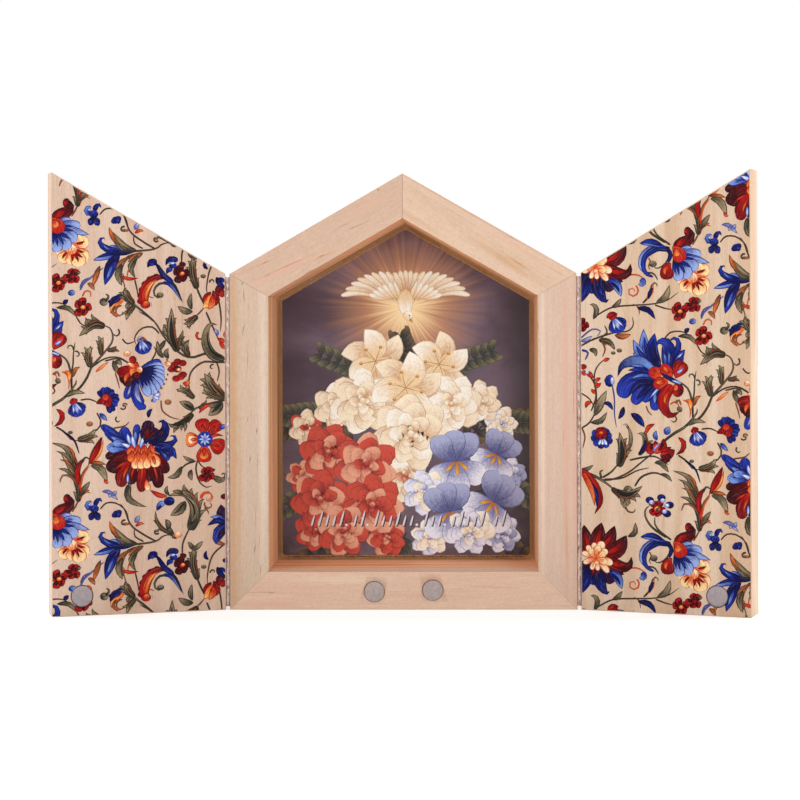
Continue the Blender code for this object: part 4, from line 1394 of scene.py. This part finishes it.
for ink, height, reach, count in (("flame", 0.3, 3.0, 4), ("flame", -1.4, 2.9, 4), ("peach", -3.2, 1.7, 3)):
    for across in np.linspace(-reach, reach, count):
        sag = 2.4 - 0.035 * across ** 2
        petal(ink, 2.0, (x + 0.2 + across * 0.9, y + height + 1.2), (x + 0.2 + across, y + height - sag))
draw("petal peach 2.6 34,-12 8,-18 0,-22; leaf flame .7 36,-20 6,-26", x, y)
tally("the two-tone flower")

# %% [markdown]
# Seen from the side: striped blue petals spread right and down from a red and orange heart.

# %% The half fan
x, y = -26, 70
draw("""
petal royal 2.2 4,-10 -20,-40 -14,-36; leaf lilac .8 -6,-36 -14,-28 -6,-14
petal royal 2.7 6,-14 -10,-46 18,-46 12,4; leaf lilac 1.3 2,-40 0,-34 14,-26
""", x, y)
for angle, reach in ((20, 7.2), (11, 7.4), (1, 7.8), (-9, 7.8), (-19, 8.2), (-30, 8.4), (-41, 8.4),
                     (-53, 8.6), (-66, 8.2)):
    tip = (x + 0.4, y - 0.4) + reach * bearing(angle)
    petal("royal" if angle == 20 else "fade", 2.3, (x + 0.4, y - 0.4), tip)
for angle in (15, 6, -4, -14, -25, -36, -47, -60, -74):
    leaf("navy", 0.65, (x + 1, y - 0.6), (x + 0.4, y - 0.4) + 5.6 * bearing(angle))
draw("""
petal maroon 2.9 0,0 -26,-22 -22,-10; crimson 2.8 0,6 -30,-12 -24,-8; maroon 2.3 0,-6 -20,-24 -14,-18
leaf flame 1 -16,-6 -14,-18 -2,-16; petal coral 3 14,-6 -18,8 -12,14; flame 2.6 12,-6 -16,-4 -14,-4
maroon 2 12,-8 -12,-12 -8,-10; ball cream 1.6 2,-6 14,8; leaf 1 -4,4 -14,10 -10,0
ball crimson 1.8 -20,22 20,8; comma ice 1.3 50,-60 12,-16 -12,-14; leaf fade .9 44,-86 8,-10
""", x, y)
for angle in range(16, -60, -9):
    leaf("rust", 0.35, (x, y) + 8.8 * bearing(angle), (x, y) + 9.4 * bearing(angle))
tally("the half fan")

# %% [markdown]
# This half's gaps are filled in the same way. The five-petalled rose shades from one red to another,
# so each of its petals is a broad stroke with a paler one over it, made in a loop.

# %% Small flowers of the far half
draw("leaf flame .7 -56,500 20,18 20,2; coral .6 -56,498 26,10 20,-4")
heart = np.array([-6.4, 49.6])
for ink, inner, step, width in (("scarlet", "coral", (4.2, 5.2), 3.3), ("scarlet", "coral", (-1.0, 6.0), 3.7),
                                ("scarlet", "coral", (5.6, -3.0), 4.2), ("coral", "flame", (-0.4, -6.7), 3.9),
                                ("flame", "cream", (-5.6, -0.1), 3.7)):
    step = np.array(step)
    petal(ink, width, heart + 0.2 * step, heart + step)
    petal(inner, width * 0.62, heart + 0.34 * step, heart + 0.86 * step)
    leaf(ink, width * 0.2, heart + 0.4 * step, heart + 0.75 * step)
pen.rosette("royal", "ice", *heart, 2.3, 8, 20)
for angle in range(0, 360, 45):
    leaf("ice", 0.5, heart, heart + 1.9 * bearing(angle))
draw("""
leaf sky 1.1 -20,524 16,14; petal crimson 1.2 -240,48 -15,16; -239,64 -15,16; -236,80 -14,17; -229,96 -12,18
-217,110 -8,19; -202,121 -1,16; -217,50 1,0; -218,68 1,3; comma 2.6 -236,44 -3,30 14,34 23,18 36,-2
flame 1.7 -235,50 0,24 14,32 21,16; leaf amber .7 -232,56 2,26 16,28 20,9; dot crimson 1.2 -234,49
flame .8 -232,51; leaf sky .9 -182,116 30,-20 22,-38; soot .5 -194,129 40,-21 28,-56
petal navy 1.6 -228,154 10,16 18,-2; 1.3 -212,174 16,-18 14,-24 28,-20; royal 1 -226,170 16,-8
navy 1.4 -176,160 10,18 26,-2; royal 1.2 -174,136 8,14 8,-6; -168,160 24,0; ice .5 -168,166 18,2
""")
blossom("maroon", -13.2, 13.6, 2.5, 90, "flame")
draw("""
petal maroon 1.5 -130,152 4,19; dot amber .5 -128,138; leaf crimson 2.2 -50,44 18,20 -8,26
2 -54,46 -4,20 12,20; amber -46,78 -6,-22 -17,-19; flame 1.7 -42,74 0,-22 -12,-18
maroon 2.2 -28,76 12,22 14,0; crimson 1.7 -24,76 18,4 4,-12; navy 1.4 -30,128 10,-18 14,-10
royal .8 -26,124 14,-4 8,-10; .9 -14,148 14,-4; plum 3.2 0,246 -14,30 -4,32; sky 1.2 0,254 -24,16 -26,2
navy 1.5 4,240 -30,22 -32,-14; royal .9 0,250 -22,10 -20,2; 3 4,246 -26,-16 -12,-36
plum 1.2 0,240 -18,-16 -10,-18; coral .9 -2,784 -4,22; 1 -4,774 -24,12; .9 -6,754 -16,24
lilac -24,794 -12,20; dot navy 1.3 -167,321; petal royal .8 -180,314 12,12 16,-4
sky 1.4 -203,294 7,14 14,12; leaf royal .6 -200,298 10,12; lilac 1.1 -264,262 12,21
flame .7 -264,252 14,8 12,-2; dot sepia .45 -287,260
""")
bell(-24, 76.3, 2.0, "lilac", 110)
draw("""
leaf rust .4 -254,782 14,5 12,-11; dot cream .8 -286,743; crimson .95 -142,719; -128,715; -159,698; -127,682
-146,671; -133,676; -152,710; maroon 1 -143,698; cream .5 -139,696; leaf flame 1.1 -128,658 16,-2 -2,12
cream 1.2 -180,716 20,-4; ice 1.1 -208,604 2,16 14,12; .8 -214,622 20,-10
""")
blossom("scarlet", -5.9, 39.4, 2.3, 60, "maroon")
draw("leaf crimson .8 -50,404 16,5; dot maroon .85 -8,330")
tally("the whole repeat")

# %% [markdown]
# Each door's print is its window on the pattern: copies of the repeat one above another, moved to the
# door's face. Blades overlap, so each lies a micron above whichever blades it covers, counted in the
# order they were drawn.

# %% Windows and layers
LIFT, LAYER = 0.02, 0.0012
TRIM = 0.28
MAGNET_HOLE = 3.08
WINDOW = {"left": (76.9, -1, 8.2), "right": (0.0, 1, -0.35)}
DOOR_EDGE = 0.5
FREE_HEIGHT, HINGE_HEIGHT = box_mm("left_door")[1][2], EAVE
DOOR_WIDE = 49.6
SPARE = 6


def stack(boxes):
    """Each blade's layer: one above the highest earlier blade whose box it meets."""
    layers = np.zeros(len(boxes), int)
    for index in range(1, len(boxes)):
        low, high = boxes[index, :2], boxes[index, 2:]
        meets = np.all((boxes[:index, :2] < high) & (boxes[:index, 2:] > low), axis=1)
        layers[index] = layers[:index][meets].max(initial=-1) + 1
    return layers


def in_window(side):
    """The blades that fall in a door's window, or a little over its top, as points on the door."""
    offset, sense, rise = WINDOW[side]
    kept = []
    for points, *rest in pen.blades:
        for count in (-1, 0, 1):
            across = (points[:, 0] - offset) * sense
            height = points[:, 1] + rise + REPEAT * count
            roof = HINGE_HEIGHT + (FREE_HEIGHT - HINGE_HEIGHT) * across.min() / DOOR_WIDE + SPARE
            if across.max() > 0 and across.min() < DOOR_WIDE and height.max() > 0 and height.min() < roof:
                kept.append((np.stack([across, height], -1), *rest))
    return kept


def ink_sheet(name, blades, to_world, material):
    """One mesh from many blades. to_world turns flat points and a lift into places, and every point
    keeps its three inks and its place in the stroke."""
    flats, strokes, halves, rows, inks = zip(*blades)
    layers = stack(np.array([(*flat.min(0), *flat.max(0)) for flat in flats]))
    counts = np.array([len(flat) for flat in flats])
    starts = np.cumsum(counts) - counts
    faces = np.concatenate([grid_faces(count, 3) + start for count, start in zip(rows, starts)])
    flat = np.concatenate(flats)
    lift = LIFT + LAYER * np.repeat(layers, counts)
    sheet = make_mesh(name, to_world(flat[:, 0], flat[:, 1], lift), [faces], material, smooth=False)
    mesh = sheet.data
    for index, part in enumerate(("root", "tip", "line")):
        colour = np.repeat([linear(*INKS[ink][index]) for ink in inks], counts, axis=0)
        mesh.attributes.new(part, "FLOAT_COLOR", "POINT").data.foreach_set("color", colour.ravel())
    brush = np.zeros((len(flat), 3), np.float32)
    brush[:, 0] = np.concatenate(halves)
    brush[:, 1] = np.repeat(np.arange(len(blades)) * 7.31 % 50, counts)
    mesh.attributes.new("brush", "FLOAT_VECTOR", "POINT").data.foreach_set("vector", brush.ravel())
    set_uv(mesh, "stroke", np.concatenate(strokes))
    print(name, len(mesh.polygons), "faces in", int(layers.max()) + 1, "layers")
    return sheet


# %% [markdown]
# The print has to stop at the board's edges and leave a round hole for the magnet. A plane splits a
# mesh and drops what lies beyond it, and forty planes round a circle cut a hole.

# %% Trimming the print
def trim(edit, point, normal):
    """Cuts the sheet along a plane and drops what lies on the side its normal points to."""
    everything = edit.verts[:] + edit.edges[:] + edit.faces[:]
    bmesh.ops.bisect_plane(edit, geom=everything, plane_co=Vector(point) * MM, plane_no=Vector(normal),
                           clear_outer=True, dist=1e-8)


def cut_round(edit, middle, radius, outwards, sides=40):
    """Cuts a round hole: planes round the circle split the faces that they cross near it, and the
    faces inside go."""
    middle = Vector(middle) * MM
    up = Vector((0, 0, 1))
    for index in range(sides):
        angle = 2 * math.pi * index / sides
        normal = Vector(outwards) * math.cos(angle) + up * math.sin(angle)
        near = [face for face in edit.faces
                if (face.calc_center_median() - middle).length < (radius + 4) * MM]
        geometry = list({part for face in near for part in (*face.verts, *face.edges, face)})
        bmesh.ops.bisect_plane(edit, geom=geometry, plane_co=middle + normal * radius * MM, plane_no=normal,
                               dist=1e-8)
    inside = [face for face in edit.faces
              if (face.calc_center_median() - middle).length < radius * 0.9995 * MM]
    bmesh.ops.delete(edit, geom=inside, context="FACES")


def settle(edit, mesh, towards):
    """Turns every face of a trimmed sheet to one side and puts it back in its mesh."""
    bmesh.ops.triangulate(edit, faces=[face for face in edit.faces if len(face.verts) > 4])
    edit.normal_update()
    wrong = [face for face in edit.faces if face.normal.dot(Vector(towards)) < 0]
    bmesh.ops.reverse_faces(edit, faces=wrong)
    edit.to_mesh(mesh)
    edit.free()


def vertex_places(mesh):
    """A mesh's vertices in millimetres."""
    flat = np.zeros(len(mesh.vertices) * 3)
    mesh.vertices.foreach_get("co", flat)
    return flat.reshape(-1, 3) / MM


def bake_map(mesh, plan):
    """Lays a sheet once over the square that its colours may be baked to, inside a thin margin."""
    set_uv(mesh, "OFBake", 0.02 + 0.96 * plan)


# %% [markdown]
# Each door then gets its window of the pattern, cut on four sides and round its magnet, as one sheet
# a fiftieth of a millimetre off the wood.

# %% Lay the print on the doors
def print_on(side):
    """Makes, trims and hands over one door's sheet of ink."""
    hinge, outwards, into = door_frame(side)
    sheet = ink_sheet(side + "_door_print", in_window(side),
                      lambda x, y, lift: on_door(side, x + DOOR_EDGE, y, -lift), printed)
    edit = bmesh.new()
    edit.from_mesh(sheet.data)
    ends = np.array([DOOR_EDGE + TRIM, DOOR_EDGE + DOOR_WIDE - TRIM])
    toe, top = on_door(side, ends, np.array([TRIM, 0.0]))
    slope = (FREE_HEIGHT - HINGE_HEIGHT) / DOOR_WIDE
    eave = on_door(side, np.array([DOOR_EDGE]), np.array([HINGE_HEIGHT - TRIM / math.cos(PITCH_ANGLE)]))[0]
    trim(edit, toe, -outwards)
    trim(edit, top, outwards)
    trim(edit, toe, (0, 0, -1))
    trim(edit, eave, Vector((0, 0, 1)) - Vector(outwards) * slope)
    magnet = middle_mm(side + "_door_magnet")
    reach = (magnet - hinge) @ outwards
    centre = on_door(side, np.array([reach]), np.array([magnet[2]]))[0]
    cut_round(edit, centre, MAGNET_HOLE, outwards)
    settle(edit, sheet.data, -into)
    where = vertex_places(sheet.data) - hinge
    bake_map(sheet.data, np.stack([where @ outwards, where[:, 2]], -1) / FREE_HEIGHT)
    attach(sheet, side + "_door")


for side in SIDES:
    print_on(side)

# %% [markdown]
# The picture in the recess is a coloured print on a smooth board. It shows a white dove in a golden
# light over a sheaf of lilies, red roses and pale irises, on dusky clouds. The ground is one flat
# sheet whose material paints the clouds and the light, and the flowers are blades of ink like the
# chintz. A row of slanted strokes stands where such a picture has its line of script.

# %% The picture's ground
INSET = 0.12
plate_half, plate_foot, plate_top = plate_high[0] - INSET, plate_low[2] + INSET, plate_high[2] - INSET
plate_face = plate_low[1]
PLATE_ROUND, PEAK = 1.0, 0.25
GROUND_LIFT = 0.012


def ground_points(u, v):
    """The house-shaped sheet: z rises with v, and x is u times the half width there, which is the
    lesser of the plate's side and its roof line, and draws in round the lower corners."""
    z = plate_foot + (plate_top - PEAK - plate_foot) * v
    roof = (plate_top - z) / math.tan(PITCH_ANGLE)
    below = np.clip(PLATE_ROUND - (z - plate_foot), 0, PLATE_ROUND)
    foot = plate_half - PLATE_ROUND + np.sqrt(PLATE_ROUND ** 2 - below ** 2)
    half = np.minimum(roof, foot)
    return np.stack([u * half, np.full_like(z, plate_face - GROUND_LIFT), z], -1)


clouds, n, shader = new_material("picture_ground", roughness=0.42)
place = n.place()
x_of, z_of = (n.part(place, axis) for axis in (0, 2))
GLOW_HEIGHT = 0.087
rise = n.minus(z_of, GLOW_HEIGHT)
away = n.math("SQRT", n.plus(n.times(x_of, x_of), n.times(rise, rise)))
angle = n.math("ARCTAN2", rise, x_of)
spoke = n.noise(n.add("CombineXYZ", X=n.math("SINE", angle), Y=n.math("COSINE", angle), Z=0.3),
                scale=16, detail=3, roughness=0.6)
puff = n.noise(n.scaled(place, (26, 26, 44)), detail=5, roughness=0.55, distortion=0.6)
wisp = n.noise(n.scaled(place, (70, 70, 120)), detail=4, roughness=0.6, distortion=0.4)
dusk = n.mix(n.ramp(puff, 0.32, 0.68), linear(74, 50, 66), linear(112, 92, 108))
low_cloud = n.times(n.ramp(wisp, 0.46, 0.72), n.ramp(z_of, 0.062, 0.028))
dusk = n.mix(n.times(low_cloud, 0.7), dusk, linear(142, 126, 124))
reach = n.plus(away, n.line(spoke, -0.016, 0.008))
halo = n.ramp(reach, 0.027, 0.004)
dusk = n.mix(n.times(halo, 0.92), dusk, linear(208, 146, 96))
dusk = n.mix(n.ramp(reach, 0.013, 0.001), dusk, linear(250, 222, 170))
# The ground darkens towards both sides, as the picture's own dusk, and more at its right edge, where the
# darkening is partly painted shade from the recess's right wall.
vignette = n.ramp(n.math("ABSOLUTE", x_of), 0.022, 0.040)
dusk = n.mix(n.times(vignette, 0.45), dusk, linear(38, 26, 34))
dusk = n.mix(n.times(n.ramp(x_of, 0.026, 0.038), 0.6), dusk, linear(20, 14, 22))
screen = n.noise(place, scale=2800, detail=2)
level = n.line(screen, 0.36, 0.82)
n.feed(shader["Base Color"], n.shade(dusk, level))
n.feed(shader["Roughness"], n.line(screen, 0.12, 0.38))
turned_foot = PLATE_ROUND / (plate_top - PEAK - plate_foot)
rounding = turned_foot * (1 - np.cos(np.linspace(0, np.pi / 2, 11)))
climb = np.concatenate([rounding, np.linspace(turned_foot, 1, 51)[1:]])
u, v = np.meshgrid(np.linspace(-1, 1, 41), climb)
ground = make_mesh("picture_ground", ground_points(u, v), [grid_faces(61, 41)], clouds, smooth=False)
edit = bmesh.new()
edit.from_mesh(ground.data)
settle(edit, ground.data, (0, -1, 0))
print("ground", len(ground.data.polygons), "faces")
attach(ground, "frame")

# %% [markdown]
# The bouquet has softer inks. Each kind of flower is a function that grows it from a place, a size
# and a turn, because a kind comes many times.

# %% The picture's inks and flowers
INKS.update(ink_table("""
pearl 214 164 116  250 234 206  150 104 72
ivory 238 206 160  252 246 232  186 140 100
rose 140 24 24  206 74 54  84 14 18
blush 186 80 60  232 166 136  128 44 38
mist 120 124 182  238 238 250  84 84 150
dusk 88 90 142  172 178 216  58 54 104
bronze 44 38 36  112 92 62  30 24 28
fern 52 56 50  122 116 86  34 34 36
stamen 196 120 40  240 190 90  130 70 24
script 232 226 230  250 248 250  196 188 196
shadow 52 34 40  52 34 40  40 26 32
"""))
picture = Pen(bleed=0.0)


def off(place, reach, degrees):
    """The point at a distance and an angle from a place."""
    return np.asarray(place) + reach * bearing(degrees)


def lily(at, radius, turn):
    """Six pointed petals, three behind and three in front, with stamens."""
    for ring_turn, scale, ink in ((60, 1.0, "pearl"), (0, 0.95, "ivory")):
        for third in (0, 120, 240):
            heading = turn + ring_turn + third
            picture.blade(ink, radius * 0.62, at, off(at, radius * 0.55 * scale, heading - 7),
                          off(at, radius * scale, heading + 9))
    for spoke in range(0, 360, 60):
        tip = off(at, radius * 0.42, turn + 30 + spoke)
        picture.stem("stamen", 0.35, at, tip)
        picture.dot("stamen", *tip, 0.5)


def rose(at, radius, turn, *inks):
    """Loose rings of petals that shrink and turn towards a dark heart. Each petal's reach, heading and
    ink wander a little, and the heart sits off the middle."""
    heart = off(at, radius * 0.14, turn + 70)
    for ring_index, (reach, petals_in) in enumerate(((1.0, 7), (0.82, 6), (0.6, 5), (0.40, 4), (0.22, 3))):
        size = radius * reach
        for index in range(petals_in):
            wander = math.sin(12.9 * index + 7.3 * ring_index + turn + at[0])
            heading = turn + 31 * ring_index + 360 * index / petals_in + 9 * wander
            picture.petal(inks[int(2.5 + 2.4 * wander) % len(inks)], size * 0.92,
                          off(heart, size * 0.1, heading), off(heart, size * 0.62, heading - 16),
                          off(heart, size * (0.93 + 0.13 * wander), heading))
    picture.dot(inks[-1], *heart, radius * 0.1)


def iris(at, radius, turn):
    """Three upright petals behind, three that droop in front, each with a gold beard."""
    for lean in (-34, 0, 34):
        picture.petal("dusk", radius * 0.66, at, off(at, radius * 0.6, turn + lean * 1.2),
                      off(at, radius, turn + lean * 0.8))
    for lean in (128, 232, 180):
        picture.petal("mist", radius * 0.7, at, off(at, radius * 0.6, turn + lean),
                      off(at, radius * 1.05, turn + lean * 1.04 - 7))
        picture.blade("stamen", radius * 0.14, at, off(at, radius * 0.5, turn + lean))


def spray(at, reach, heading, bend, ink):
    """A bough of paired leaves along a bending stem."""
    middle = off(at, reach * 0.5, heading)
    end = off(middle, reach * 0.5, heading + bend)
    picture.stem(ink, 0.7, at, middle, end)
    line = through([at, middle, end], 9)
    for index in range(1, 9):
        along = line[index] - line[index - 1]
        facing = math.degrees(math.atan2(along[1], along[0]))
        for hand in (1, -1):
            picture.blade(ink, 2.3, line[index], off(line[index], 3.2, facing + 52 * hand),
                          off(line[index], 6.4 - 0.3 * index, facing + 34 * hand))


# %% [markdown]
# The dove comes once, but it is made of feathers that fan out by even steps, so it is loops as well.

# %% The dove
def dove(x, y, span):
    """Seen from below with its wings spread: fans of long feathers, a fanned tail above, and a small
    head bent down to one side."""
    for hand in (1, -1):
        for index in range(11):
            fraction = index / 10
            heading = 90 - hand * (82 - 96 * fraction)
            root = (x + hand * (1.2 + 4.6 * (1 - fraction)), y + 1.6 * (1 - fraction))
            reach = span * (0.50 - 0.20 * fraction)
            picture.petal("pearl" if index % 2 else "ivory", 1.7, root,
                          off(root, reach * 0.6, heading + hand * 5), off(root, reach, heading - hand * 4))
        for index in range(7):
            fraction = index / 6
            root = (x + hand * (0.8 + 4.4 * (1 - fraction)), y + 1.2)
            picture.petal("ivory", 1.5, root, off(root, span * 0.22, 90 - hand * (74 - 70 * fraction)))
    for heading in (66, 78, 90, 102, 114):
        picture.petal("pearl", 1.8, (x, y + 2), off((x, y + 2), span * 0.30, heading))
    picture.draw("leaf ivory 4.4 0,44 0,-54 6,-32; dot 1.45 60 7,-36; "
                 "leaf stamen .7 12,-44 9,-12; dot shadow .22 12,-35", x, y)


# %% [markdown]
# A table says what stands where, from back to front. The row of script is a loop of slanted strokes,
# which looks like writing and says nothing.

# %% The bouquet and its script
GROW = {"spray": spray, "rose": rose, "lily": lily, "iris": iris}
BOUQUET = """
spray -14 44 26 150 30 bronze / spray -18 30 22 178 26 fern / spray 16 46 24 36 -34 bronze
spray 20 32 20 6 -30 fern / spray -10 58 22 118 34 fern / spray 12 60 20 66 -40 fern
spray -8 24 26 200 20 bronze / spray 8 24 28 -14 -16 bronze / spray 0 20 14 250 10 fern
spray 0 66 12 90 14 bronze / spray -20 52 16 160 20 fern / spray 22 50 15 20 -20 fern
rose -29.5 50.5 5 10 pearl rose / rose 29 52 4.6 80 ivory mist / rose -27 20 5.5 15 rose blush
rose 29 19 5 60 mist dusk / rose -20 57 6.2 64 pearl ivory / rose 22 58 6 20 pearl ivory
rose -31 36 4.6 10 blush rose / rose 31 37 4.6 50 dusk mist / rose -6 18 5.4 5 rose blush
rose 7 17.5 5.2 35 ivory mist / rose 0 36 7 18 pearl blush / lily -9 71 10.5 100 / lily 10 70 10 20
rose -13 58 8.8 12 pearl ivory / rose 14 57 8.4 40 ivory pearl / lily 0 63 11.5 75
rose 1 48 10 0 pearl ivory / rose -23 43 7.4 30 rose blush / rose -12 39 8.6 5 blush rose
rose -25 29 7.8 50 rose blush / rose -10 27 8.6 20 rose blush / rose -18 19.6 7 70 blush rose
iris 27 43 7.6 60 / iris 15 41 9.4 95 / rose 6 31 6.4 35 mist ivory / iris 26 29 9 55 / iris 13 26 9 100
rose 19 19.4 6.6 15 mist ivory
"""
for item in BOUQUET.replace("\n", " / ").split(" / ")[1:-1]:
    kind, x, y, *words = item.split()
    GROW[kind](np.array([x, y], float), *(word if word.isalpha() else float(word) for word in words))
dove(0, 88, 27)
SCRIPT_FOOT, SCRIPT_LEAN = 21.9, 1.1
left_end = -28.2
for group in (5, 2, 6, 3, 5, 2):
    for index in range(group):
        tall = 4.6 if (index * 7 + group) % 3 == 0 else 3.1
        for ink, slip in (("shadow", 0.28), ("script", 0.0)):
            picture.stem(ink, 0.78, (left_end + slip, SCRIPT_FOOT - slip),
                         (left_end + SCRIPT_LEAN * tall / 4 + slip, SCRIPT_FOOT + tall - slip))
        left_end += 2.12
    picture.dot("script", left_end - 0.2, SCRIPT_FOOT + 0.3, 0.4)
    left_end += 2.0
print("script row ends at", round(left_end, 1), "picture blades", len(picture.blades))

# %% [markdown]
# The flowers become one sheet, like the chintz, on the ground's face and trimmed to the plate.

# %% Print the picture
art = ink_material("picture_inks", 0.42, 0.35, Outline=0.5, Veins=0.3, Lights=0.15)
flowers = ink_sheet("picture_flowers", picture.blades,
                    lambda x, y, lift: np.stack([x, plate_face - lift, y], -1), art)
edit = bmesh.new()
edit.from_mesh(flowers.data)
MARGIN = 0.15
for sense in (1, -1):
    trim(edit, (sense * (plate_half - MARGIN), 0, 0), (sense, 0, 0))
trim(edit, (0, 0, plate_foot + MARGIN), (0, 0, -1))
settle(edit, flowers.data, (0, -1, 0))
where = vertex_places(flowers.data)
plan = np.stack([where[:, 0] + plate_half, where[:, 2] - plate_foot], -1)
bake_map(flowers.data, plan / (plate_top - plate_foot))
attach(flowers, "frame")
